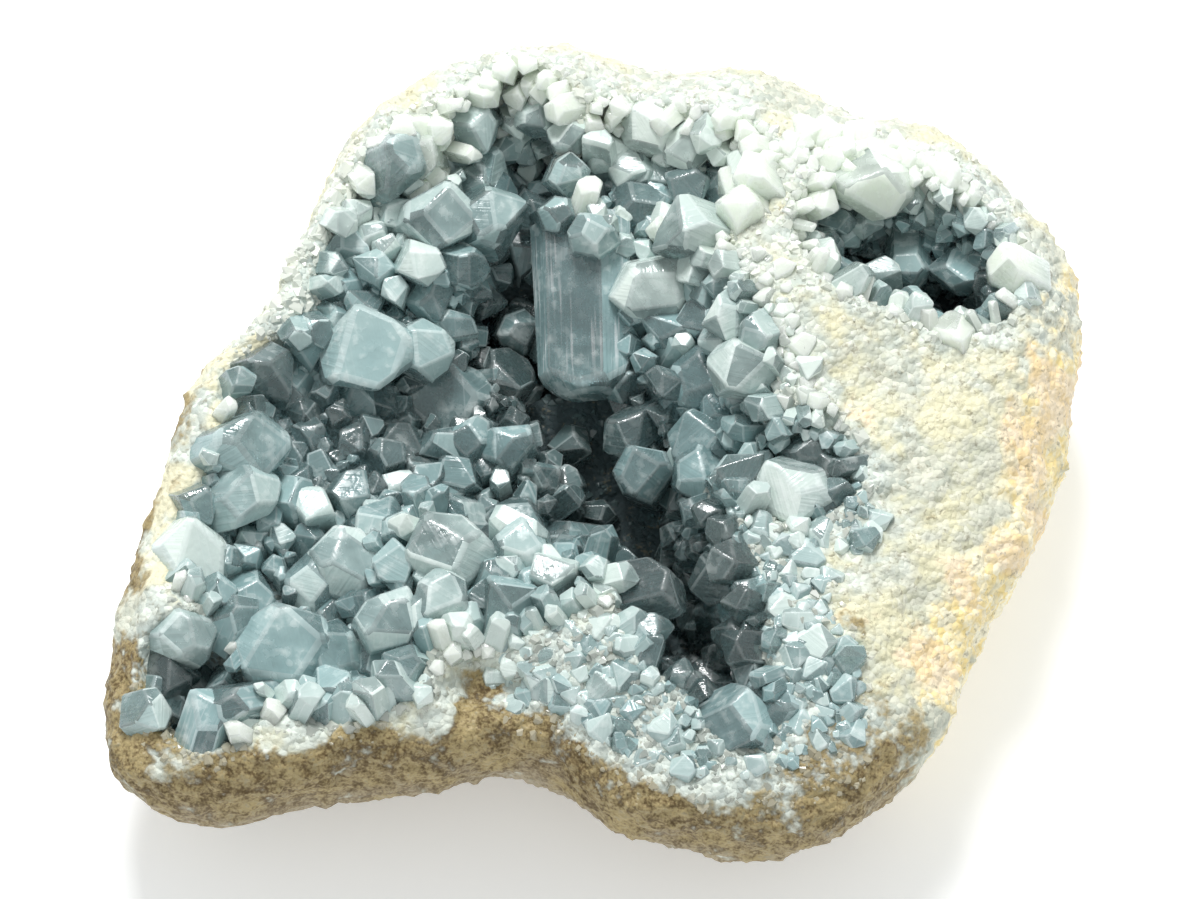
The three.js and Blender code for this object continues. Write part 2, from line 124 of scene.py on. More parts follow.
# How hollows are shaped: what each keeps of the rock under it, where its floor ends and its edge begins as
# shares of its radius, how sharply two blend, and where they all end short of the outline
FLOOR_HEIGHT, DEEPEST_SHARE = 9, 0.92
FLOOR_SHARE, EDGE_SHARE = 0.45, 1.15
BLEND = 4
RIM_SHARE = (0.82, 0.97)
# Each hollow runs from one point to another: from x, y, to x, y, radius, depth
MAIN_HOLLOW = [
    (-40, 26, -27, 40, 17, 13), (-46, 8, -42, -8, 19, 17), (-58, -20, -44, -38, 17, 12),
    (-38, -32, -10, -26, 13, 8), (-30, 12, -12, -8, 22, 22), (-16, 54, -14, 26, 11, 30),
    (-14, 26, 4, -6, 15, 33), (4, -6, 15, -38, 11, 33), (15, -38, 23, -52, 7, 19),
    (2, 47, 18, 43, 11, 14), (4, 26, 12, 6, 17, 19), (18, -6, 32, -10, 10, 10), (-69, -46, -65, -50, 9, 27),
]
SIDE_VUG = [(46, 33, 58, 29, 13, 31)]
FRONT_NOTCH = [(-19, -50, -18, -62, 8, 4.5)]
TAU = 2 * math.pi

corners = sorted((math.atan2(y, x) % TAU, math.hypot(x, y)) for x, y in OUTLINE)
corner_angles = np.array([a + turn * TAU for turn in (-1, 0, 1) for a, _ in corners])
corner_reaches = np.array([r for _ in (-1, 0, 1) for _, r in corners])


def mix(a, b, t):
    return a + (b - a) * t


def smooth(low, high, t):
    """0 below low, 1 above high and an easy slope between."""
    k = np.clip((t - low) / (high - low), 0, 1)
    return k * k * (3 - 2 * k)


def reach(angle):
    """Distance from the middle to the outline, a smooth closed curve through the outline's points."""
    a = np.mod(angle, TAU)
    i = np.searchsorted(corner_angles, a, side="right")
    a0, a1, a2, a3 = (corner_angles[i + k] for k in (-2, -1, 0, 1))
    r0, r1, r2, r3 = (corner_reaches[i + k] for k in (-2, -1, 0, 1))
    span = a2 - a1
    t = (a - a1) / span
    m1 = (r2 - r0) / (a2 - a0) * span
    m2 = (r3 - r1) / (a3 - a1) * span
    return ((2 * t**3 - 3 * t**2 + 1) * r1 + (t**3 - 2 * t**2 + t) * m1
            + (3 * t**2 - 2 * t**3) * r2 + (t**3 - t**2) * m2)


def lumps(x, y, z, size):
    """Gentle rises and dips from about -1 to 1, a few times this size apart."""
    total = 0
    for k in range(1, 7):
        along = x * math.cos(2.4 * k) + y * math.sin(2.4 * k) + z * math.cos(1.7 * k)
        total = total + np.sin(along * (1 + 0.23 * k) / size + 1.9 * k)
    return total / 3


def share_out(x, y):
    """How far out a point lies, from 0 in the middle to 1 on the outline."""
    return np.hypot(x, y) / reach(np.arctan2(y, x))


def off_line(x, y, x0, y0, x1, y1):
    """How far a point is from the line between two others."""
    dx, dy = x1 - x0, y1 - y0
    t = np.clip(((x - x0) * dx + (y - y0) * dy) / (dx * dx + dy * dy), 0, 1)
    return np.hypot(x - x0 - t * dx, y - y0 - t * dy)


def depth_of(hollows, x, y):
    """How deep these hollows are at a point, blended where they meet and shallow near the outline."""
    total = 0
    for *line, radius, depth in hollows:
        away = off_line(x, y, *line) / radius
        total = total + (depth * (1 - smooth(FLOOR_SHARE, EDGE_SHARE, away))) ** BLEND
    return total ** (1 / BLEND) * (1 - smooth(*RIM_SHARE, share_out(x, y)))


def top_height(x, y):
    """The height of the crown with its hollows. The shoulder is steep but for a longer slope on the right."""
    angle = np.arctan2(y, x)
    share = np.minimum(1, np.hypot(x, y) / reach(angle))
    turned = np.arctan2(np.sin(angle - SLOPED_ANGLE), np.cos(angle - SLOPED_ANGLE))
    curve = mix(SHOULDER_CURVE, SLOPED_CURVE, np.exp(-((turned / SLOPED_SPREAD) ** 2)))
    dome = (1 - share**curve) ** (1 / curve)
    crown = CROWN_HEIGHT + CROWN_SLOPE * y + LUMP * lumps(x, y, 0, TOP_LUMPS)
    open_depth = depth_of(MAIN_HOLLOW + SIDE_VUG + FRONT_NOTCH, x, y)
    deepest = (crown - FLOOR_HEIGHT) * DEEPEST_SHARE
    return WIDEST_HEIGHT + (crown - WIDEST_HEIGHT) * dome - np.minimum(open_depth, deepest)


def under_height(share):
    """The height of the underside, round at the outline and flat where it would sink below the ground."""
    rounded = (1 - share**UNDERSIDE_CURVE) ** (1 / UNDERSIDE_CURVE)
    return np.maximum(0, WIDEST_HEIGHT - (WIDEST_HEIGHT + BASE_SINK) * rounded)


# The underside is flat up to this share of the way out
FLAT_SHARE = (1 - (WIDEST_HEIGHT / (WIDEST_HEIGHT + BASE_SINK)) ** UNDERSIDE_CURVE) ** (1 / UNDERSIDE_CURVE)
# The rings are spaced along plain profiles: how far out these reach, and the top one's height and curve
PROFILE_REACH, PROFILE_HEIGHT, PROFILE_CURVE = 75, 22, 3.2
PROFILE_STEPS = 20000


def even_shares(count, height_of, first, last):
    """Shares of the way out whose rings lie equally far apart along a profile."""
    fine = mix(first, last, (1 - np.cos(np.linspace(0, math.pi, PROFILE_STEPS + 1))) / 2)
    steps = np.hypot(PROFILE_REACH * np.diff(fine), np.diff(height_of(fine)))
    travelled = np.concatenate([[0], np.cumsum(steps)])
    return np.interp(np.arange(1, count + 1) / count * travelled[-1], travelled, fine)


def dome_height(share):
    """The height of the plain profile that spaces the rings of the top."""
    return PROFILE_HEIGHT * (1 - share**PROFILE_CURVE) ** (1 / PROFILE_CURVE)


def rock_net(top_rings, side_rings, turns):
    """Points in mm, faces and each point's share of the way out, which passes 1 below the widest line."""
    points = [np.array([[0, 0, top_height(0.0, 0.0)]])]
    shares = [np.zeros(1)]
    rings = []
    shares_out = even_shares(top_rings, dome_height, 0, 1)
    shares_in = even_shares(side_rings, under_height, 1, FLAT_SHARE)
    start = 1
    for share, on_top in [(s, True) for s in shares_out] + [(s, False) for s in shares_in]:
        count = next(n for limit, n in turns if share <= limit) if on_top else turns[-1][1]
        angle = np.arange(count) / count * TAU
        x, y = share * reach(angle) * np.cos(angle), share * reach(angle) * np.sin(angle)
        z = top_height(x, y) if on_top else np.full(count, float(under_height(share)))
        bulge = LUMP * lumps(x, y, z, SIDE_LUMPS) * smooth(0.75, 1, share)
        points.append(np.stack([x + bulge * np.cos(angle), y + bulge * np.sin(angle), z], axis=1))
        shares.append(np.full(count, share if on_top else 2 - share))
        rings.append((start, count))
        start += count
    points.append(np.zeros((1, 3)))
    shares.append(np.full(1, 2.0))

    faces = [(0, 1 + i, 1 + (i + 1) % rings[0][1]) for i in range(rings[0][1])]
    for (a, count), (b, wider) in zip(rings, rings[1:]):
        for i in range(count):
            a0, a1 = a + i, a + (i + 1) % count
            if wider > count:
                b0, b1, b2 = b + 2 * i, b + 2 * i + 1, b + (2 * i + 2) % wider
                faces += [(a0, b0, b1), (a0, b1, a1), (a1, b1, b2)]
            else:
                b0, b1 = b + i, b + (i + 1) % count
                faces += [(a0, b0, b1), (a0, b1, a1)]
    last, count = rings[-1]
    faces += [(last + i, start, last + (i + 1) % count) for i in range(count)]
    return np.concatenate(points), faces, np.concatenate(shares)


# The frame's origin lies under the middle of the rock's box, this far from the outline's own origin
MIDDLE = (0.08, 1.617, 0)


def metres(points):
    """Points in mm of the outline's own frame, in metres of the shared frame."""
    return (np.asarray(points) - MIDDLE) / 1000


def new_piece(name, points, faces, material):
    """A new object of one mesh and one material."""
    mesh = bpy.data.meshes.new(name)
    mesh.from_pydata(points, [], faces)
    mesh.materials.append(material)
    piece = bpy.data.objects.new(name, mesh)
    scene.collection.objects.link(piece)
    return piece


def note(mesh, name, values):
    """Writes one number for each point, which materials and node trees read by name."""
    attribute = mesh.attributes.new(name, "FLOAT", "POINT")
    attribute.data.foreach_set("value", np.asarray(values, dtype=np.float32))


# Its skin: milky white and yellowish grains, bluer near the hollows, sandy yellow marl down the right
# side, a speckled brown rind low on the front and sides, and a teal lining of tiny crystals in the hollows,
# painted nearly black deep down as painted shade.
def from_hollows(hollows, x, y):
    """Distance in mm from the nearest hollow's rim, less than 0 inside it."""
    nearest = np.full(np.shape(x), 1e3)
    for *line, radius, _ in hollows:
        nearest = np.minimum(nearest, off_line(x, y, *line) - radius)
    return nearest


# Where the rock between the hollows is bluer and full of half-sunk crystals: x, y, x, y, radius, depth
BLUE_ZONES = [
    (-8, -46, 24, -62, 11, 6), (25, -30, 31, -56, 12, 6), (38, 46, 66, 43, 7, 6), (68, 36, 72, 26, 5, 6),
    (36, -17, 41, -20, 5, 6), (24, 20, 28, 4, 7, 6),
]
# A brown stain that runs down the notch to the rind, and pits in the crown on the right, listed likewise
BROWN_SPOTS = [(-19.5, -50, -21, -62, 4.6, 1), (40, -38, 42, -39, -0.3, 1), (48, -44, 50, -45, -0.5, 1)]


class Value:
    """Wraps one socket of a node tree, so that sums on it read as plain expressions."""

    def __init__(self, socket):
        self.socket = socket
        self.tree = socket.id_data

    def worked_out(self, operation, first, second):
        return add_node(self.tree, "ShaderNodeMath", {"operation": operation}, {0: first, 1: second})

    def __add__(self, other):
        return self.worked_out("ADD", self, other)

    def __sub__(self, other):
        return self.worked_out("SUBTRACT", self, other)

    def __rsub__(self, other):
        return self.worked_out("SUBTRACT", other, self)

    def __mul__(self, other):
        return self.worked_out("MULTIPLY", self, other)

    def __rtruediv__(self, other):
        return self.worked_out("DIVIDE", other, self)

    def __pow__(self, other):
        return self.worked_out("POWER", self, other)

    __radd__ = __add__
    __rmul__ = __mul__


def add_node(tree, kind, settings=None, inputs=None, output=0):
    """Adds a node: its settings first, then the values or links of its sockets. Returns one output."""
    node = tree.nodes.new(kind)
    for name, value in (settings or {}).items():
        setattr(node, name, value)
    for name, value in (inputs or {}).items():
        if isinstance(value, Value):
            tree.links.new(value.socket, node.inputs[name])
        else:
            node.inputs[name].default_value = value
    return Value(node.outputs[output])


def fade(value, low, high):
    """0 below low, 1 above high and an easy slope between."""
    return add_node(value.tree, "ShaderNodeMapRange", {"interpolation_type": "SMOOTHSTEP"},
                    {"Value": value, "From Min": low, "From Max": high})


def tone(first, second, share):
    """A colour that goes from the first to the second as the share goes from 0 to 1."""
    settings = {"data_type": "RGBA"}
    return add_node(share.tree, "ShaderNodeMix", settings, {"Factor": share, 6: first, 7: second}, 2)


def speckle(place, size, detail=3.0):
    """Soft noise with spots about this size in metres."""
    inputs = {"Vector": place, "Scale": 1 / size, "Detail": detail}
    return add_node(place.tree, "ShaderNodeTexNoise", None, inputs)


def noted(tree, name):
    """The number that the mesh notes under this name."""
    return add_node(tree, "ShaderNodeAttribute", {"attribute_name": name}, output=2)


def part_of(vector, which):
    """One of a vector's three numbers: 0 for x, 1 for y and 2 for z."""
    return add_node(vector.tree, "ShaderNodeSeparateXYZ", None, {"Vector": vector}, which)


def feed(shader, socket, value):
    """Links a value to a socket of a shader or of the material's output."""
    value.tree.links.new(value.socket, shader.inputs[socket])


def mineral(name, glaze):
    """A new material, its tree and its shader, whose plain values are set from the glaze."""
    material = bpy.data.materials.new(name)
    material.use_nodes = True
    shader = material.node_tree.nodes["Principled BSDF"]
    for socket, value in glaze.items():
        shader.inputs[socket].default_value = value
    return material, material.node_tree, shader


def window(value, low, high, soft):
    """1 between low and high and 0 outside, with soft ends."""
    return smooth(low - soft, low + soft, value) * (1 - smooth(high - soft, high + soft, value))


# Its colours, light tone first: milk, the bluer milk, sand, and bark with its duller tone low down
MILK = (0.69, 0.69, 0.57, 1), (0.48, 0.51, 0.43, 1)
BLUE_MILK = (0.76, 0.82, 0.75, 1), (0.44, 0.50, 0.47, 1)
YELLOW_MILK = (0.86, 0.80, 0.52, 1)
SAND = (0.94, 0.88, 0.66, 1), (0.93, 0.74, 0.33, 1)
OLIVE_SAND, PINK_SAND = (0.80, 0.76, 0.55, 1), (0.88, 0.66, 0.46, 1)
BARK = (0.42, 0.33, 0.16, 1), (0.11, 0.07, 0.025, 1)
LOW_BARK = (0.54, 0.46, 0.33, 1), (0.29, 0.23, 0.14, 1)
# The lining's teal, then a near black that is painted shade deep in the hollows
LINING_AND_DEEP_SHADE = (0.40, 0.50, 0.51, 1), (0.06, 0.09, 0.095, 1)
PIT = (0.26, 0.23, 0.15, 1)

skin, tree, shader = mineral("host rock skin", {"Specular IOR Level": 0.4})
place = add_node(tree, "ShaderNodeTexCoord", output=3)
far, hollow_depth, marl, rind = (noted(tree, name) for name in ("far", "hollow_depth", "marl", "rind"))
across, height = part_of(place, 0), part_of(place, 2)
broad = speckle(place, 0.016, 1)
patch = speckle(place, 0.006, 2)
grain = speckle(place, 0.0016, 3)
fine = speckle(place, 0.0005, 1)
sugar = add_node(tree, "ShaderNodeTexVoronoi", {"feature": "F1"}, {"Vector": place, "Scale": 850.0})
cell = Value(sugar.socket.node.outputs["Color"])
cell = add_node(tree, "ShaderNodeSeparateColor", None, {0: cell})

milk = tone(*MILK, fade(patch * 0.5 + cell * 0.5, 0.3, 0.75))
milk = tone(milk, YELLOW_MILK, fade(broad * 0.6 + patch * 0.4 + 0.1 * cell, 0.5, 0.68) * 0.7)
blue = tone(*BLUE_MILK, fade(patch * 0.4 + cell * 0.35 + grain * 0.3, 0.3, 0.76))
milk = tone(blue, milk, fade(far + 22 * (patch - 0.5) + 10 * (grain - 0.5), -2.0, 12.0))
sand = tone(SAND[1], SAND[0], fade(patch * 0.5 + grain * 0.3 + cell * 0.2, 0.36, 0.6))
sand = tone(OLIVE_SAND, sand, fade(across, -0.06, 0.0))
sand = tone(sand, PINK_SAND, fade(broad, 0.52, 0.62) * fade(across, 0.0, 0.03) * 0.5)
bark = tone(BARK[1], BARK[0], fade(grain * 0.45 + fine * 0.3 + patch * 0.35, 0.44, 0.66))
low_bark = tone(LOW_BARK[1], LOW_BARK[0], fade(grain * 0.5 + fine * 0.5, 0.35, 0.65))
bark = tone(low_bark, bark, fade(height + 0.03 * (patch - 0.5), 0.008, 0.030))
colour = tone(milk, sand, fade(marl + 1.5 * (patch - 0.5) + 1.4 * (broad - 0.5), 0.36, 0.62))
colour = tone(colour, bark, fade(rind + 1.6 * (patch - 0.5) + 0.9 * (grain - 0.5), 0.34, 0.74))
# The lining of tiny crystals, then painted shade that darkens the deepest parts of the hollows
colour = tone(colour, LINING_AND_DEEP_SHADE[0], fade(hollow_depth + 6 * (grain - 0.5), 5, 12))
colour = tone(colour, LINING_AND_DEEP_SHADE[1], fade(hollow_depth + 6 * (grain - 0.5), 17, 27))
colour = tone(colour, PIT, fade(fine * 0.35 + grain * 0.65, 0.55, 0.68) * 0.6)
feed(shader, "Base Color", colour)
feed(shader, "Roughness", 0.7 - 0.3 * fade(grain, 0.4, 0.7))
feed(shader, "Normal", add_node(tree, "ShaderNodeBump", None, {
    "Strength": 0.8, "Distance": 0.0007, "Height": grain - 0.7 * sugar + 0.25 * cell,
}))

# The net of rings: how many over the top and down the side, and how many points they have up to each share
# of the way out
TOP_RINGS, SIDE_RINGS = 112, 44
TURNS = [(0.07, 40), (0.15, 80), (0.3, 160), (0.58, 320), (1, 640)]
points, faces, out = rock_net(TOP_RINGS, SIDE_RINGS, TURNS)
rock = new_piece("host_rock_skin", metres(points), faces, skin)

# Where its finishes lie, in degrees from the right-hand side: from, to, and how soft their ends are. The
# rind of the sides fades out over two ranges. The rind's top is this high, uneven and soft, in mm.
LEFT_MARL, RIGHT_MARL = (165, 214, 8), (-46, 24, 12)
FRONT_RIND, RIGHT_STAIN = (-146, -72, 8), (-68, -48, 6)
SIDE_RIND = (-226, -174), (-56, -36)
RIND_TOP, RIND_UNEVEN, RIND_SOFT = 38, 5, 7
# How dense the druse is in the blue zones, and the shares of it that are missing on the notch and deep down
ZONE_DRUSE, NOTCH_BARE, DEEP_BARE = 0.5, 0.5, 0.6

# What its materials and node trees read: how deep the hollows are, for the lining and its painted shade, and
# where it is marly, browned or crowded with small crystals.
# The rind's bearings run through the back without a step.
x, y, z = points.T
bearing = np.degrees(np.arctan2(y, x))
crystal_depth = depth_of(MAIN_HOLLOW + SIDE_VUG, x, y) * (out < 1)
notch_depth = depth_of(FRONT_NOTCH, x, y) * (out < 1)
near_rim = from_hollows(MAIN_HOLLOW + SIDE_VUG, x, y)
note(rock.data, "hollow_depth", crystal_depth)
near_blue = from_hollows(BLUE_ZONES, x, y)
note(rock.data, "far", mix(np.minimum(near_rim, near_blue + 4), 16, smooth(0.90, 1.08, out)))
left_side = window(np.mod(bearing, 360), *LEFT_MARL)
right_side = window(bearing, *RIGHT_MARL)
sandy = 0.75 * right_side * smooth(0.80, 0.96, out) + 0.4 * left_side * smooth(0.78, 0.92, out)
note(rock.data, "marl", sandy + 0.2 * (1 - smooth(20, 34, z)))
from_back = np.where(bearing > 60, bearing - 360, bearing)
sides = smooth(*SIDE_RIND[0], from_back) * (1 - smooth(*SIDE_RIND[1], from_back))
front = np.maximum(window(from_back, *FRONT_RIND), 0.88 * sides)
rind_top = RIND_TOP + RIND_UNEVEN * lumps(x, y, 0 * z, 5)
browned = 0.95 * front * smooth(0.86, 0.95, out) * (1 - smooth(rind_top - RIND_SOFT, rind_top + RIND_SOFT, z))
stain = 0.62 * window(bearing, *RIGHT_STAIN) * smooth(0.72, 0.9, out)
stain = np.maximum(stain, 0.85 * (1 - smooth(-2, 3.5, from_hollows(BROWN_SPOTS, x, y))) * (out < 1))
note(rock.data, "rind", np.maximum(browned, stain))
note(rock.data, "grainy", np.clip(1 - crystal_depth / 6, 0, 1))
crowded = np.maximum(1 - smooth(-1, 6, near_rim), ZONE_DRUSE * (1 - smooth(-3, 4, near_blue)))
bare = np.maximum(left_side * smooth(0.80, 0.90, out), NOTCH_BARE * smooth(1, 4, notch_depth))
crowded = (out < 0.97) * crowded * (1 - bare) * (1 - DEEP_BARE * smooth(6, 14, crystal_depth))
note(rock.data, "druse", crowded)


# Its relief, added square to the surface: rounded lumps, blunt grains like coarse sugar, and finer grit
def new_tree(name, inputs, result):
    """A node tree, its inputs' identifiers by their names, and their values in order."""
    tree = bpy.data.node_groups.new(name, "GeometryNodeTree")
    sockets = {}
    for label, kind in inputs.items():
        made = tree.interface.new_socket(label, in_out="INPUT", socket_type="NodeSocket" + kind)
        sockets[label] = made.identifier
    tree.interface.new_socket(result, in_out="OUTPUT", socket_type="NodeSocketGeometry")
    given = tree.nodes.new("NodeGroupInput")
    return tree, sockets, [Value(given.outputs[k]) for k in range(len(inputs))]


def relief_tree():
    """Moves the skin's points along their normals, and returns the tree and its inputs' identifiers."""
    tree, sockets, values = new_tree("granular relief", {
        "Rock": "Geometry", "Lump size": "Float", "Lump height": "Float", "Grain size": "Float",
        "Grain height": "Float",
    }, "Rock")
    rock_in, lump_size, lump_height, grain_size, grain_height = values
    place = add_node(tree, "GeometryNodeInputPosition")
    grainy = add_node(tree, "GeometryNodeInputNamedAttribute", {"data_type": "FLOAT"}, {"Name": "grainy"})
    grain_scale, lump_scale = 1.0 / grain_size, 1.0 / lump_size
    cells = add_node(tree, "ShaderNodeTexVoronoi", {"feature": "SMOOTH_F1"},
                     {"Vector": place, "Scale": grain_scale, "Smoothness": 0.25})
    small_cells = add_node(tree, "ShaderNodeTexVoronoi", None, {"Vector": place, "Scale": grain_scale * 2.3})
    rolling = add_node(tree, "ShaderNodeTexNoise", None,
                       {"Vector": place, "Scale": lump_scale, "Detail": 3.0})
    uneven = add_node(tree, "ShaderNodeTexNoise", None, {"Vector": place, "Scale": lump_scale * 2.2})
    blunt = (0.45 - cells) * grain_height * fade(uneven, 0.3, 0.7) + (0.4 - small_cells) * grain_height * 0.35
    height = blunt * grainy + (rolling - 0.5) * lump_height
    normal = add_node(tree, "GeometryNodeInputNormal")
    offset = add_node(tree, "ShaderNodeVectorMath", {"operation": "SCALE"}, {0: normal, "Scale": height})
    moved = add_node(tree, "GeometryNodeSetPosition", None, {"Geometry": rock_in, "Offset": offset})
    skinned = add_node(tree, "GeometryNodeSetMaterial", None, {"Geometry": moved, "Material": skin})
    tree.links.new(skinned.socket, tree.nodes.new("NodeGroupOutput").inputs[0])
    return tree, sockets


def settle(piece):
    """Works a piece's modifiers into its plain mesh."""
    mesh = bpy.data.meshes.new_from_object(piece.evaluated_get(bpy.context.evaluated_depsgraph_get()))
    piece.modifiers.clear()
    piece.data = mesh


def grow(piece, tree, sockets, sizes):
    """Runs a node tree on a piece with these sizes and keeps the result."""
    modifier = piece.modifiers.new("growth", "NODES")
    modifier.node_group = tree
    for name, value in sizes.items():
        modifier[sockets[name]] = value
    settle(piece)


grow(rock, *relief_tree(), {
    "Lump size": 0.011, "Lump height": 0.0030, "Grain size": 0.0034, "Grain height": 0.0022,
})
rock.data.polygons.foreach_set("use_smooth", [True] * len(rock.data.polygons))
for vertex in rock.data.vertices:
    vertex.co.z = max(vertex.co.z, 0)
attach(rock, "root")
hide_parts("host_rock")


# The crystals: blunt prisms of celestite rooted in the rock, steel blue and cloudy, clear enough to look
# into. Those picked out one by one are listed: tip, lean, half widths, turn in degrees, bluntness, paleness.
LARGE_CRYSTALS = [
    ((-3.4, 11, 30), (0.02, -0.88, -0.25), (8, 5.4), 14, 0.62, 0),
    ((-2, 33, 48), (0, -0.35, 0.8), (4.2, 4), 20, 0.45, 0.08),
    ((9, 24, 44), (0.15, -0.5, 0.75), (7.5, 5.5), 35, 0.6, 0.65),
    ((-40, 13, 42), (0.1, -0.5, 0.85), (8.8, 7.4), 12, 0.75, 0.08),
    ((-29.5, 15, 40), (0.3, -0.4, 0.8), (4.6, 5.6), 60, 0.6, 0.2),
    ((-26, 11, 30), (0.1, -0.35, 0.9), (7.8, 6.4), 5, 0.75, -0.3),
    ((-23, 1, 33), (-0.2, -0.4, 0.85), (4.4, 3.2), 70, 0.6, 0.15),
    ((-17, 38, 46), (0.5, -0.3, 0.8), (6.4, 5.4), 30, 0.5, 0.11),
    ((-27, 37, 48), (0.3, -0.3, 0.9), (6.4, 5.4), 0, 0.6, 0.26),
    ((-33, 46, 52), (0.5, -0.2, 0.75), (7.2, 3.8), 85, 0.5, 0.11),
    ((-11.5, 42, 36), (0.1, -0.6, 0.6), (3.4, 4), 15, 0.4, -0.4),
    ((-14, 25, 28), (0.2, -0.4, 0.7), (4, 4.2), 40, 0.5, -0.3),
    ((-57, -6, 44), (0.6, -0.2, 0.7), (7.6, 5.4), 10, 0.7, 0.05),
    ((-56, -14, 42), (0.7, -0.2, 0.6), (6, 4.8), 50, 0.6, 0.25),
    ((-66, -26, 41), (0.45, -0.3, 0.8), (6.6, 6.4), 25, 0.65, 0.6),
    ((-42, -26, 40), (0.2, -0.3, 0.9), (5.6, 6.6), 20, 0.65, 0.4),
    ((-49, -29, 37), (-0.1, -0.4, 0.85), (5.6, 5), 75, 0.55, 0.3),
    ((-58, -31, 36), (0.3, -0.2, 0.9), (3.8, 7), 10, 0.6, 0.08),
    ((-52.5, -43, 40), (0.05, -0.4, 0.9), (8.8, 8.2), 15, 0.75, 0.1),
    ((-44, -42, 38), (0.3, -0.3, 0.9), (5, 6.4), 50, 0.6, 0.22),
    ((-45, -33, 34), (0.1, -0.3, 0.9), (3.8, 3.8), 0, 0.45, -0.3),
    ((-66, -40, 41), (0.6, -0.3, 0.75), (5.4, 4.6), 35, 0.6, 0.45),
    ((-72, -52, 37), (0.7, -0.1, 0.6), (3.4, 4), 5, 0.6, 0.4),
    ((-26.5, -27, 46), (-0.1, -0.3, 0.9), (7, 7.2), 30, 0.6, 0.4),
    ((-13, -25, 44), (0.2, -0.2, 0.9), (4.6, 5.2), 5, 0.5, 0.22),
    ((-27, -35.5, 45), (0, -0.3, 0.85), (4.8, 4.4), 60, 0.6, 0.34),
    ((-35, -39, 44), (0.1, -0.3, 0.9), (5.4, 5), 40, 0.6, 0.3),
    ((-2, -17, 28), (0.5, -0.3, 0.6), (4.2, 5.4), 80, 0.5, -0.3),
    ((6, -6, 34), (-0.1, -0.4, 0.85), (5.2, 4.6), 20, 0.6, -0.1),
    ((15, -7, 36), (-0.3, -0.3, 0.85), (4.6, 5.2), 55, 0.55, 0.08),
    ((29, -17, 44), (-0.4, -0.5, 0.7), (7, 5.4), 10, 0.7, 0.5),
    ((15, 10, 39), (-0.3, -0.3, 0.85), (5.4, 5), 65, 0.5, 0.1),
    ((7, 52, 50), (-0.1, -0.6, 0.7), (5.4, 5), 30, 0.6, 0.7),
    ((14, 49, 49), (-0.1, -0.6, 0.65), (4.6, 4), 0, 0.5, 0.6),
    ((-1, 50, 46), (-0.2, -0.6, 0.6), (4, 4.4), 45, 0.4, 0.45),
    ((-21, 55, 47), (0.4, -0.5, 0.6), (5, 4.6), 15, 0.5, 0.3),
    ((-12, 57, 47), (-0.1, -0.6, 0.6), (4.6, 4), 50, 0.45, 0.4),
    ((24, -52, 38), (-0.5, -0.2, 0.8), (7.6, 5), 10, 0.65, 0),
    ((7, -40, 33), (0.75, 0, 0.5), (4.6, 5), 30, 0.6, -0.3),
    ((20, -33, 37), (-0.7, -0.1, 0.6), (4.6, 4), 75, 0.5, 0.1),
    ((-6, 52, 49), (0, -0.5, 0.8), (3.8, 3.6), 15, 0.5, 0.4),
    ((-5.5, 45, 47.5), (0.1, -0.5, 0.8), (3.6, 3.4), 50, 0.5, 0.1),
    ((-7.5, 38, 46), (0.1, -0.45, 0.8), (3.2, 3.6), 80, 0.55, 0),
]
VUG_LARGE_CRYSTALS = [
    ((47, 39, 50), (0.2, -0.75, 0.45), (7.6, 4.6), 0, 0.7, 0.75),
    ((52, 31, 36), (-0.05, -0.7, 0.35), (3.6, 3.8), 45, 0.4, 0.1),
    ((48, 32, 34), (-0.2, -0.5, 0.6), (3.4, 3.8), 10, 0.5, 0.1),
    ((59, 31, 37), (-0.4, -0.5, 0.5), (4.4, 4.4), 70, 0.5, 0),
    ((58, 17, 46), (-0.2, 0.3, 0.8), (4.6, 3.8), 20, 0.6, 0.95),
    ((66, 28, 47), (-0.6, 0, 0.6), (4, 4.4), 60, 0.6, 0.9),
    ((40, 34, 42), (0.6, -0.2, 0.5), (3.6, 3.2), 30, 0.5, 0.1),
]
# Pockets where the crystals are painted dark as painted shade, listed as the hollows are: from x, y, to x, y,
# radius, depth
SHADED_POCKETS = [
    (-56, 5, -34, 3, 6, 1), (-16, 50, -17, 22, 4, 1), (-28, 10, 6, 4, 7, 1), (-6, 46, 18, 44, 3, 1),
    (-6, -12, 16, -16, 7, 1), (14, -22, 18, -44, 8, 1), (-69, -44, -68, -48, 6, 1),
    (-50, -29, -48, -30, 3, 1), (36, -10, 38, -14, 4, 1), (54, 31, 60, 28, 6, 1), (-48, -4, -34, -6, 5, 1),
]
POCKET_SHADING = 1.0
BLUE_SHARE = 0.3
# Those paler than this are milky
MILKY_ABOVE = 0.74
# How many side and end faces a crystal has, how its edges are worn as a share of its half width, and how
# striped it is: the least and what chance adds, or the longest one's own
LARGE_FACES, LONGEST_FACES, SMALL_FACES = (6, 4), (8, 7), (5, 3)
WEAR = 0.11
TAPER = 0.06
STREAKS, LONGEST_STREAKS = (0.1, 0.5), 0.8
SIDE_REACH, END_REACH, END_SLOPE = (0.84, 1), (0.6, 1.1), (0.6, 1.05)
# How the small ones grow: the lining under them, then square to the rock, upwards and a little astray
LINING = 2.6
SQUARE_GROWTH = 0.8
UPWARD_GROWTH = (0, -0.18, 0.4)
WANDER = 0.35
BLUNTNESS, FLATNESS = (0.35, 0.85), (0.65, 1)
# How deep a root is buried, in half widths, and how long a crystal is at most
BURIED, LONGEST = 0.9, 45
# Edges shorter than this are left out, and flatter ones than this look soft
SHORTEST_EDGE, SOFT_BELOW = 0.15, math.radians(46)
TRIES = 12000


def random_from(seed):
    """Repeatable random numbers from 0 to 1."""
    state = seed
    while True:
        state = (state * 1664525 + 1013904223) % 2**32
        yield state / 2**32


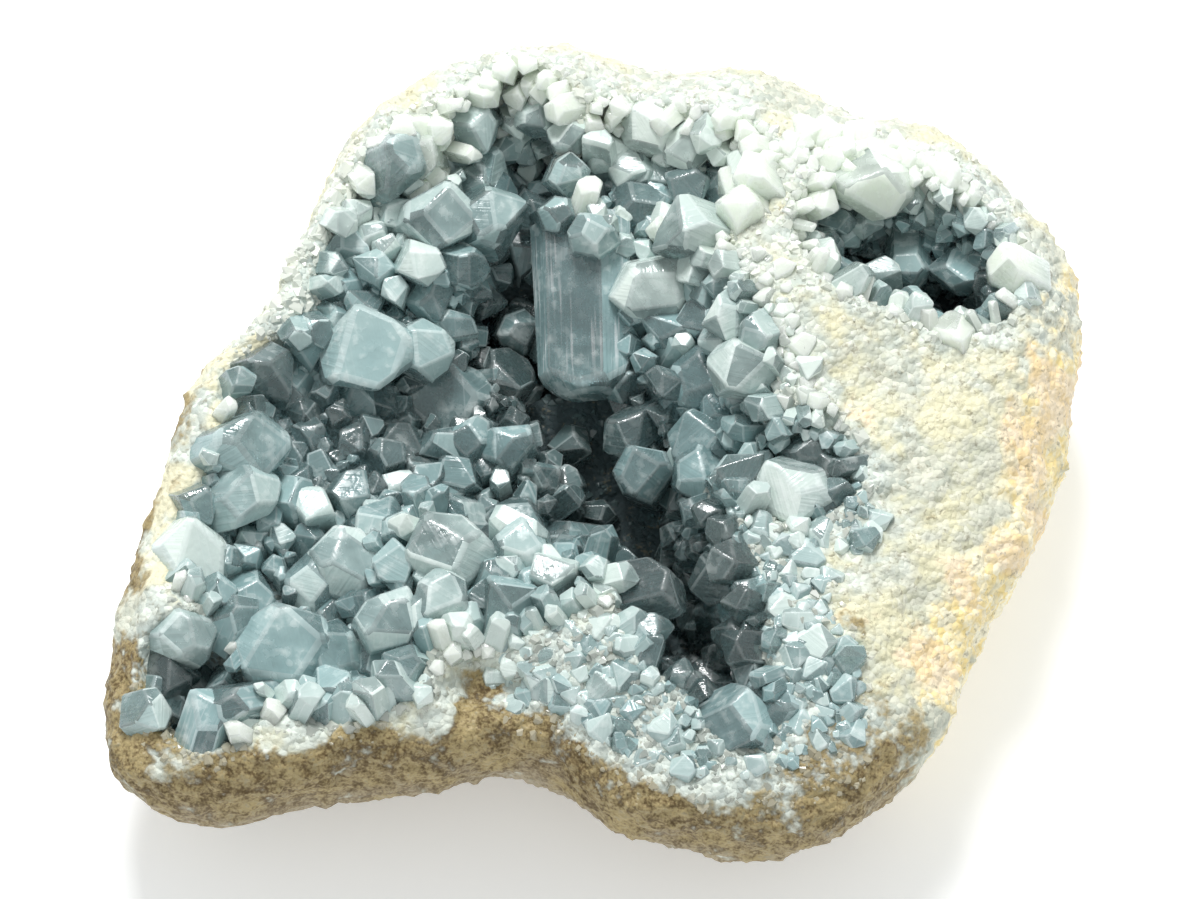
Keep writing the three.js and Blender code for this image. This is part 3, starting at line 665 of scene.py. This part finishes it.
def square_to(x, y):
    """The direction square to the rock's top at a point."""
    step = 1.5
    slope_x = (top_height(x + step, y) - top_height(x - step, y)) / (2 * step)
    slope_y = (top_height(x, y + step) - top_height(x, y - step)) / (2 * step)
    return Vector((-slope_x, -slope_y, 1)).normalized()


def paleness_and_light_at(tip, shades):
    """Paler near a rim; paler high up and at the back as painted light, darker at the front right and in
    the shaded pockets as painted shade; bluer in the blue zones.
    """
    rim = from_hollows(MAIN_HOLLOW + SIDE_VUG, tip.x, tip.y)
    pale = 0.8 * smooth(-7, 1, rim) + 0.4 * smooth(40, 50, tip.z) + 0.5 * (next(shades) - 0.5)
    # Painted light toward the back and painted shade toward the front right
    pale += 0.55 * smooth(27, 47, tip.y) - 0.2 * smooth(-20, 10, tip.x - tip.y - 40)
    pale -= BLUE_SHARE * (1 - smooth(-3, 4, from_hollows(BLUE_ZONES, tip.x, tip.y)))
    dark = 1 - smooth(-3, 3, from_hollows(SHADED_POCKETS, tip.x, tip.y))
    return float(pale - POCKET_SHADING * dark * (0.6 + 0.4 * next(shades)))


def fill_crystals(fill, hollows, standing):
    """Crystals scattered over a hollow's surface between those that stand there, mostly square to it."""
    count, seed, half, spread, bounds, depths, stand, lining, widest = fill
    chance = random_from(seed)
    shades = random_from(seed + 100)
    placed = []
    tips = np.array([s[0] for s in standing])
    axes = np.array([Vector(s[1]).normalized() for s in standing])
    wide = np.array([s[2][1] for s in standing])
    feet = np.zeros((0, 4))
    for _ in range(TRIES):
        if len(placed) == count:
            break
        x, y = mix(bounds[0], bounds[1], next(chance)), mix(bounds[2], bounds[3], next(chance))
        size = mix(half[0], half[1], next(chance) ** 1.5)
        stray = Vector([WANDER * (2 * next(chance) - 1) for _ in range(3)])
        if not depths[0] <= depth_of(hollows, x, y) <= depths[1] or share_out(x, y) > widest:
            continue
        foot = np.array([x, y, top_height(x, y)])
        if (np.linalg.norm(feet[:, :3] - foot, axis=1) < spread * (size + feet[:, 3])).any():
            continue
        along = np.minimum(0, ((foot - tips) * axes).sum(axis=1))
        if (np.linalg.norm(foot - tips - along[:, None] * axes, axis=1) < 0.8 * (wide + 0.5 * size)).any():
            continue
        lean = (square_to(x, y) * SQUARE_GROWTH + Vector(UPWARD_GROWTH) + stray).normalized()
        height = size * mix(*stand, next(chance)) + lining
        tip = Vector(foot) + lean * height
        widths = (size, size * mix(*FLATNESS, next(chance)))
        turn = 180 * next(chance)
        blunt = mix(*BLUNTNESS, next(chance))
        placed.append((tuple(tip), tuple(lean), widths, turn, blunt, paleness_and_light_at(tip, shades)))
        feet = np.vstack([feet, [*foot, size]])
    return placed


def rooted_length(tip, axis, half):
    """Length of a crystal from its tip back into the rock."""
    lengths = np.arange(1, LONGEST, 0.5)
    x, y, z = (tip[k] - lengths * axis[k] for k in range(3))
    below = z < top_height(x, y)
    return (lengths[below.argmax()] if below.any() else LONGEST) + BURIED * half


def crystal_planes(crystal, sides, ends, chance, end_tilt=0.2):
    """The planes of a crystal's faces, its root's last, in its own frame with the tip at the origin."""
    tip, lean, half, _, blunt, _ = crystal
    normals, offsets = [], []

    def facing(degrees, slope, offset):
        a = math.radians(degrees)
        normals.append((math.cos(a) * math.sin(slope), math.sin(a) * math.sin(slope), math.cos(slope)))
        offsets.append(offset)

    def width_at(degrees):
        a = math.radians(degrees)
        return math.hypot(half[0] * math.cos(a), half[1] * math.sin(a))

    for i in range(sides):
        degrees = (i + 0.5 * (next(chance) - 0.5)) * 360 / sides
        taper = TAPER * next(chance)
        facing(degrees, math.pi / 2 - taper, width_at(degrees) * mix(*SIDE_REACH, next(chance)))
    for i in range(ends):
        degrees = (i + 0.5 + 0.5 * (next(chance) - 0.5)) * 360 / ends
        slope = mix(*END_SLOPE, next(chance))
        facing(degrees, slope, width_at(degrees) * blunt * mix(*END_REACH, next(chance)) * math.sin(slope))
    facing(360 * next(chance), end_tilt * next(chance), 0)
    normals.append((0, 0, -1))
    offsets.append(rooted_length(tip, Vector(lean).normalized(), half[0]))
    return np.array(normals), np.array(offsets)


def crystal_corners(normals, offsets):
    """The points where three planes cross and no other plane cuts them off."""
    triples = np.array(list(combinations(range(len(normals)), 3)))
    matrices = normals[triples]
    crossing = np.abs(np.linalg.det(matrices)) > 1e-3
    found = np.linalg.solve(matrices[crossing], offsets[triples[crossing]][..., None])[..., 0]
    found = found[(found @ normals.T < offsets + 1e-5).all(axis=1)]
    kept = []
    for point in found:
        if all(np.linalg.norm(point - k) > SHORTEST_EDGE for k in kept):
            kept.append(point)
    return np.array(kept)


def worn_corners(normals, offsets, found, wear):
    """Each face's corners drawn in by the wear, so that the hull of them all has softened edges."""
    drawn = []
    for normal, offset in zip(normals, offsets):
        face = found[np.abs(found @ normal - offset) < SHORTEST_EDGE]
        if len(face) < 3:
            continue
        centre = face.mean(axis=0)
        span = np.linalg.norm(face - centre, axis=1).min()
        drawn.append(centre + (face - centre) * max(0.35, 1 - wear / max(span, 0.1)))
    return np.concatenate(drawn)


def hull_of(points):
    """The closed form that wraps these points."""
    solid = bmesh.new()
    for point in points:
        solid.verts.new(point)
    hull = bmesh.ops.convex_hull(solid, input=solid.verts)
    loose = [v for v in hull["geom_interior"] if isinstance(v, bmesh.types.BMVert)]
    bmesh.ops.delete(solid, geom=loose, context="VERTS")
    return solid


def crystal_object(crystal, sides, ends, chance, streaks=STREAKS[0], end_tilt=0.2):
    """One crystal as a closed mesh in metres. Its growth lines are its UVs, and each face notes its look."""
    normals, offsets = crystal_planes(crystal, sides, ends, chance, end_tilt)
    tip, lean, half, turn, _, pale = crystal
    corners = crystal_corners(normals, offsets)
    solid = hull_of(worn_corners(normals, offsets, corners, WEAR * half[0]))
    solid.normal_update()
    growth = solid.loops.layers.uv.new("growth")
    layers = [solid.faces.layers.float.new(name) for name in ("streaks", "edge", "pale", "facet")]
    shades = random_from(int(1000 * abs(tip[0])) + int(10 * abs(tip[1])))
    # Each facet draws a random tone: it sets how cloudy the facet is, and also paints it lighter or darker as
    # a painted reflection
    cloudiness_and_reflection = [next(shades) for _ in normals]
    for face in solid.faces:
        across = face.normal.cross(Vector((0, 0, 1)))
        across = across.normalized() if across.length > 0.3 else Vector((1, 0, 0))
        alike = normals @ np.array(face.normal)
        worn = float(alike.max() < 0.999)
        for layer, value in zip(layers, (streaks, worn, pale, cloudiness_and_reflection[alike.argmax()])):
            face[layer] = value
        for loop in face.loops:
            loop[growth].uv = (across.dot(loop.vert.co) + 3 * tip[0], loop.vert.co.z)
    turned = Vector((0, 0, 1)).rotation_difference(Vector(lean).normalized()).to_matrix().to_4x4()
    turned = turned @ Matrix.Rotation(math.radians(turn), 4, "Z")
    solid.transform(Matrix.Scale(0.001, 4) @ Matrix.Translation(Vector(tip) - Vector(MIDDLE)) @ turned)
    mesh = bpy.data.meshes.new("crystal")
    solid.to_mesh(mesh)
    solid.free()
    mesh.materials.append(milky if pale > MILKY_ABOVE else celestite)
    return bpy.data.objects.new("crystal", mesh)


def joined(name, objects):
    """All of the objects as one closed solid. Their face numbers and UVs stay."""
    together = bpy.data.collections.new(name)
    for one in objects[1:]:
        together.objects.link(one)
    scene.collection.children.link(together)
    piece = objects[0]
    piece.name = name
    scene.collection.objects.link(piece)
    union = piece.modifiers.new("union", "BOOLEAN")
    union.operation = "UNION"
    union.solver = "MANIFOLD"
    union.operand_type = "COLLECTION"
    union.collection = together
    settle(piece)
    piece.data.shade_smooth()
    piece.data.set_sharp_from_angle(angle=SOFT_BELOW)
    piece.modifiers.new("soft edges", "WEIGHTED_NORMAL").keep_sharp = True
    settle(piece)
    for one in objects[1:]:
        bpy.data.objects.remove(one)
    bpy.data.collections.remove(together)
    return piece


def crust(large, bright, fills, seed):
    """A hollow's crystals: the listed ones, the flashing ones, then each fill between all before it."""
    chance = random_from(seed)
    stripes = random_from(seed + 50)
    objects = []

    def place_crystal(crystal, faces):
        streaks = STREAKS[0] + STREAKS[1] * next(stripes) ** 2
        objects.append(crystal_object(crystal, *faces, chance, streaks))

    for crystal in large:
        if crystal is LARGE_CRYSTALS[0]:
            objects.append(crystal_object(crystal, *LONGEST_FACES, chance, LONGEST_STREAKS))
        else:
            place_crystal(crystal, LARGE_FACES)
    standing = list(large)
    for tip, half, turn in bright:
        crystal = (tip, FLASHING, half, turn, FLASHING_BLUNTNESS, FLASHING_PALENESS)
        objects.append(crystal_object(crystal, *SMALL_FACES, chance, end_tilt=FLASHING_TILT))
        standing.append(crystal)
    for fill, hollows in fills:
        placed = fill_crystals(fill, hollows, standing)
        standing += placed
        for crystal in placed:
            place_crystal(crystal, SMALL_FACES)
    return objects


# Facets square to the line halfway between lamp and camera flash white: tip, half widths, turn
FLASHING = tuple(Vector(LAMP_PLACE).normalized() + back)
FLASHING_BLUNTNESS, FLASHING_PALENESS, FLASHING_TILT = 0.8, 0.5, 0.03
BRIGHT_CRYSTALS = [
    ((-49.5, -13.5, 38.5), (4.4, 2.6), 150), ((-14.5, -21, 43.5), (2, 5.6), 70),
    ((-8.5, -30, 44.5), (4.4, 2.6), 10), ((-35, -7.5, 34), (3.2, 1.9), 20),
    ((-17.5, -5, 31.5), (1.5, 2.5), 0), ((13, -2.5, 34), (1.6, 2.9), 60),
    ((-38, -14.5, 36), (3.5, 1.8), 30), ((-1.5, 38.5, 48), (2.3, 1.6), 120),
    ((0.5, 36, 47.5), (1.6, 1.2), 40), ((-1, 51, 50), (3, 1.5), 170),
    ((13.5, 17, 40), (1.4, 1.8), 20), ((-9, -27.5, 44), (2.6, 1.6), 100),
]
VUG_BRIGHT_CRYSTALS = [((47.5, 31, 41), (2, 3.2), 70)]
# Each fill: how many, seed, half widths, how far apart, bounds, least and greatest depth of the hollow,
# how far they stand out as shares of their half width, the lining under them, and how far out they reach
MAIN_FILLS = [
    (54, 23, (3.5, 5.6), 1.12, (-78, 46, -62, 66), (4.5, 99), (0.8, 1.7), LINING, 1),
    (320, 31, (2.2, 4.0), 0.6, (-80, 48, -66, 70), (2.6, 29), (0.8, 1.7), LINING, 0.9),
    (600, 37, (1.1, 2.1), 0.58, (-82, 50, -68, 72), (1.2, 29), (0.8, 1.7), LINING, 0.88),
    (420, 47, (1.0, 2.2), 0.6, (-82, 50, -68, 70), (0.05, 22), (0.2, 0.8), 0, 0.85),
]
ZONE_FILLS = [(420, 53, (1.0, 3.4), 0.48, (-20, 80, -70, 60), (0.8, 99), (0.1, 0.6), 0, 0.88)]
VUG_FILLS = [
    (11, 5, (2.4, 3.6), 1, (28, 78, 10, 50), (4.5, 99), (0.8, 1.7), LINING, 1),
    (60, 41, (1.6, 2.8), 0.6, (28, 78, 10, 50), (2.6, 26), (0.8, 1.7), LINING, 1),
    (80, 43, (0.9, 1.7), 0.6, (26, 80, 8, 52), (1.2, 24), (0.8, 1.7), LINING, 1),
    (90, 59, (0.9, 2.0), 0.6, (24, 82, 6, 54), (0.05, 99), (0.2, 0.8), 0, 0.9),
]

# A rusty stain on the crystals over the gully's upper end, in metres
RUSTY_SPOT = (-0.0069, 0.047, 0.044)
RUST = (0.26, 0.12, 0.08, 1)
# What changes a crystal's tone: greyer high up; dark in the shaded pockets, low down and at its root, all
# painted shade; and pale for clouds, worn edges and growth lines, the worn edges partly as a painted
# highlight
GREYER = (0.33, 0.40, 0.38, 1), (0.74, 0.79, 0.70, 1)
POCKET_SHADE, LOW_SHADE, ROOT_SHADE = (0.14, 0.19, 0.19, 1), (0.12, 0.18, 0.18, 1), (0.22, 0.31, 0.32, 1)
VEIL, WORN_AND_SHEEN, LINE = (0.82, 0.87, 0.85, 1), (0.82, 0.87, 0.86, 1), (0.95, 0.97, 0.98, 1)


def crystal_material(name, clear, cloudy, shades, least_cloudy):
    """Clear and cloudy crystal mixed face by face, from teal through pale to nearly white."""
    material, tree, shader = mineral(name, clear)
    clouded = add_node(tree, "ShaderNodeBsdfPrincipled", None, cloudy).socket.node
    place = add_node(tree, "ShaderNodeTexCoord", output=3)
    growth = add_node(tree, "ShaderNodeUVMap", {"uv_map": "growth"})
    streaks, edge, pale, facet = (noted(tree, noted_as) for noted_as in ("streaks", "edge", "pale", "facet"))
    behind, height, along = part_of(place, 1), part_of(place, 2), part_of(growth, 1)
    clouds = speckle(place, 0.008, 2)
    veils = speckle(place, 0.0022, 3)
    lines = add_node(tree, "ShaderNodeVectorMath", {"operation": "MULTIPLY"}, {0: growth, 1: (1.6, 0.07, 1)})
    lines = speckle(lines, 1, 2)

    # The facet's random tone is partly a painted reflection
    paleness = fade(pale + 0.35 * (clouds - 0.5) + 0.35 * (facet - 0.5), 0.0, 1.0)
    body = tone(tone(*shades, paleness), tone(*GREYER, paleness), fade(height, 0.036, 0.050) * 0.4)
    # Painted shade: crystals in the shaded pockets turn dark
    body = tone(POCKET_SHADE, body, fade(pale, -1.1, 0.1))
    # Painted shade low down, lifted toward the back as painted light
    lit = height + 0.010 * fade(behind, 0.022, 0.050)
    body = tone(LOW_SHADE, body, fade(lit, 0.020, 0.041))
    # Painted shade toward each crystal's root, where it meets the rock and its neighbours
    body = tone(ROOT_SHADE, body, 0.45 + 0.55 * fade(along, -13.0, -2.0))
    body = tone(body, VEIL, fade(veils + 0.6 * (clouds - 0.5), 0.50, 0.80) * 0.4)
    body = tone(body, LINE, fade(lines, 0.56, 0.72) * streaks * 0.6)
    # Worn edges paler: partly their own frosted wear, partly a painted highlight
    body = tone(body, WORN_AND_SHEEN, edge * 0.2)
    from_stain = add_node(tree, "ShaderNodeVectorMath", {"operation": "DISTANCE"},
                          {0: place, 1: RUSTY_SPOT}, 1)
    clean = fade(from_stain + 0.003 * (veils - 0.5), 0.001, 0.004)
    body = tone(RUST, body, 0.4 + 0.6 * clean)
    feed(clouded, "Base Color", body)
    frosted = 0.10 + 0.28 * fade(veils, 0.45, 0.66)
    etched = add_node(tree, "ShaderNodeBump", None, {
        "Strength": 0.5, "Distance": 0.0006, "Height": 0.6 * veils + 0.5 * lines,
    })
    for either in (shader, clouded):
        feed(either, "Roughness", frosted)
        feed(either, "Normal", etched)
    share = fade(0.6 * facet + 0.5 * clouds + 0.2 * veils + 0.3 * pale, 0.35, 0.85)
    feed(tree.nodes["Material Output"], "Surface", add_node(tree, "ShaderNodeMixShader", None, {
        0: share * (1 - least_cloudy) + least_cloudy,
        1: Value(shader.outputs[0]), 2: Value(clouded.outputs[0]),
    }))
    return material


celestite = crystal_material("cloudy celestite", {
    "Base Color": (0.74, 0.90, 0.92, 1), "Transmission Weight": 1.0, "IOR": 1.62,
}, {
    "IOR": 1.62,
}, [(0.27, 0.42, 0.43, 1), (0.76, 0.85, 0.80, 1)], 0.35)
tree = celestite.node_tree
feed(tree.nodes["Material Output"], "Volume", add_node(tree, "ShaderNodeVolumeAbsorption", None, {
    "Color": (0.35, 0.68, 0.74, 1), "Density": 35.0,
}))
milky = crystal_material("milky celestite", {
    "Base Color": (0.80, 0.92, 0.92, 1), "Transmission Weight": 1.0, "IOR": 1.62,
}, {
    "IOR": 1.62, "Subsurface Weight": 0.8, "Subsurface Radius": (1, 1, 1), "Subsurface Scale": 0.004,
}, [(0.34, 0.47, 0.45, 1), (0.80, 0.86, 0.76, 1)], 0.42)

main_fills = [(fill, MAIN_HOLLOW) for fill in MAIN_FILLS] + [(fill, BLUE_ZONES) for fill in ZONE_FILLS]
vug_fills = [(fill, SIDE_VUG) for fill in VUG_FILLS]
grown_crystals = {
    "main_hollow_crystals": crust(LARGE_CRYSTALS, BRIGHT_CRYSTALS, main_fills, seed=3),
    "side_vug_crystals": crust(VUG_LARGE_CRYSTALS, VUG_BRIGHT_CRYSTALS, vug_fills, seed=7),
}
rim_crystals = []
for name, objects in grown_crystals.items():
    rim_crystals += [one for one in objects if one.data.materials[0] == milky]
    piece = joined(name + "_grown", [one for one in objects if one.data.materials[0] == celestite])
    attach(piece, "root")
    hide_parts(name)
piece = joined("rim_crystals", rim_crystals)
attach(piece, "root")


# The druse: small pale crystals and grains that crowd the hollows' rims and fade out over the crown,
# sunk in the rock. Six shapes are scattered by the noted density, each one turned and sized apart.
TINT_SEED = 9
# The druse's tones: darker toward the front as painted shade and paler toward the back as painted light
SHADED_FRONT_DRUSE = (0.27, 0.31, 0.29, 1), (0.66, 0.69, 0.62, 1)
LIT_BACK_DRUSE = (0.65, 0.71, 0.64, 1), (0.90, 0.92, 0.83, 1)
FAR_DRUSE, DEEP_SHADE_DRUSE, RIND_DRUSE = (0.90, 0.90, 0.77, 1), (0.14, 0.20, 0.20, 1), (0.46, 0.40, 0.26, 1)

sugary, tree, shader = mineral("sugary celestite", {
    "Transmission Weight": 0.2, "IOR": 1.62, "Roughness": 0.22,
})
place = add_node(tree, "ShaderNodeTexCoord", output=3)
far, hollow_depth, tint, rind = (noted(tree, name) for name in ("far", "hollow_depth", "tint", "rind"))
patch = speckle(place, 0.006)
veils = speckle(place, 0.0015, 5)
behind = fade(part_of(place, 1), -0.035, 0.025)
shade = tint * 0.7 + veils * 0.5
# Darker toward the front and paler toward the back: painted shade and painted light
body = tone(tone(*SHADED_FRONT_DRUSE, shade), tone(*LIT_BACK_DRUSE, shade), behind)
body = tone(body, FAR_DRUSE, fade(far + 20 * (patch - 0.5), 1.0, 9.0))
# Painted shade: the druse darkens deep in the hollows
body = tone(body, DEEP_SHADE_DRUSE, fade(hollow_depth, 7, 19))
body = tone(body, RIND_DRUSE, fade(rind + 0.6 * (patch - 0.5), 0.2, 0.7) * 0.85)
feed(shader, "Base Color", body)


def by_chance(tree, seed):
    """A number from 0 to 1 for each point."""
    inputs = {2: 0.0, 3: 1.0, "Seed": seed}
    return add_node(tree, "FunctionNodeRandomValue", {"data_type": "FLOAT"}, inputs, 1)


def druse_tree(shapes):
    """Scatters the shapes over the skin, and returns the tree and its inputs' identifiers."""
    tree, sockets, values = new_tree("scattered druse", {
        "Rock": "Geometry", "Number in each square metre": "Float", "Least size": "Float",
        "Greatest size": "Float", "Tilt": "Float", "Seed": "Int",
    }, "Druse")
    rock_in, number, least, greatest, tilt, seed = values
    where = add_node(tree, "GeometryNodeInputNamedAttribute", {"data_type": "FLOAT"}, {"Name": "druse"})
    spots = add_node(tree, "GeometryNodeDistributePointsOnFaces", {"distribute_method": "RANDOM"},
                     {"Mesh": rock_in, "Density": where * number, "Seed": seed})
    upright = Value(spots.socket.node.outputs["Rotation"])
    size = (least + (greatest - least) * by_chance(tree, seed) ** 2) * (0.45 + 0.55 * where)
    angles = add_node(tree, "FunctionNodeRandomValue", {"data_type": "FLOAT_VECTOR"},
                      {0: (-1, -1, -3.14), 1: (1, 1, 3.14), "Seed": seed})
    leaned = add_node(tree, "ShaderNodeCombineXYZ", None, {
        "X": part_of(angles, 0) * tilt, "Y": part_of(angles, 1) * tilt, "Z": part_of(angles, 2),
    })
    stray = add_node(tree, "FunctionNodeEulerToRotation", None, {0: leaned})
    turned = add_node(tree, "FunctionNodeRotateRotation", {"rotation_space": "LOCAL"}, {0: upright, 1: stray})
    kinds = add_node(tree, "GeometryNodeCollectionInfo", None,
                     {"Collection": shapes, "Separate Children": True, "Reset Children": True})
    placed = add_node(tree, "GeometryNodeInstanceOnPoints", None,
                      {"Points": spots, "Instance": kinds, "Pick Instance": True, "Rotation": turned,
                       "Scale": size})
    tinted = add_node(tree, "GeometryNodeStoreNamedAttribute", {"data_type": "FLOAT", "domain": "INSTANCE"},
                      {"Geometry": placed, "Name": "tint", "Value": by_chance(tree, TINT_SEED)})
    real = add_node(tree, "GeometryNodeRealizeInstances", None, {"Geometry": tinted})
    finished = add_node(tree, "GeometryNodeSetMaterial", None, {"Geometry": real, "Material": sugary})
    tree.links.new(finished.socket, tree.nodes.new("NodeGroupOutput").inputs[0])
    return tree, sockets


# Six shapes about 2 across, each rounder and blunter than the one before, sunk so that their ends stand out
SHAPE_COUNT, SHAPE_LENGTH, SHAPE_RISE = 6, 1.6, 0.25
SHAPE_SEED = 61
shapes = bpy.data.collections.new("druse shapes")
chance = random_from(SHAPE_SEED)
for number in range(SHAPE_COUNT):
    crystal = ((0, 0, 1.1), (0, 0, 1), (1, 0.6 + 0.07 * number), 0, 0.35 + 0.09 * number, 1)
    normals, offsets = crystal_planes(crystal, *SMALL_FACES, chance)
    offsets[-1] = SHAPE_LENGTH
    solid = hull_of(crystal_corners(normals, offsets) + (0, 0, SHAPE_RISE))
    mesh = bpy.data.meshes.new("druse shape")
    solid.to_mesh(mesh)
    solid.free()
    shapes.objects.link(bpy.data.objects.new("druse shape", mesh))
scene.collection.children.link(shapes)

# Two pieces: what lies more than 4 mm nearer to the main hollow than to the vug, and the rest
NEARER = 4
by_vug = from_hollows(SIDE_VUG, x, y) < from_hollows(MAIN_HOLLOW, x, y) + NEARER
for name, here in [("rim_druse", ~by_vug), ("vug_druse", by_vug)]:
    druse = bpy.data.objects.new(name, rock.data.copy())
    scene.collection.objects.link(druse)
    druse.data.attributes["druse"].data.foreach_set("value", (crowded * here).astype(np.float32))
    grow(druse, *druse_tree(shapes), {
        "Number in each square metre": 700000.0, "Least size": 0.0004, "Greatest size": 0.0015,
        "Tilt": 0.7, "Seed": 4,
    })
    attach(druse, "root")
for shape in list(shapes.objects):
    bpy.data.objects.remove(shape)
bpy.data.collections.remove(shapes)


# The floor: one plain pale sheet of paper, lit a little from within as a light tent's floor is, so that
# the rock's shadow on it stays soft.
FLOOR_REACH = 2
paper, tree, shader = mineral("pale paper", {
    "Base Color": (0.93, 0.94, 0.95, 1), "Roughness": 0.9,
    "Emission Color": (1, 1, 1, 1), "Emission Strength": 0.25,
})
floor_corners = [(FLOOR_REACH * x, FLOOR_REACH * y, 0) for x, y in [(-1, -1), (1, -1), (1, 1), (-1, 1)]]
floor = new_piece("floor", floor_corners, [(0, 1, 2, 3)], paper)
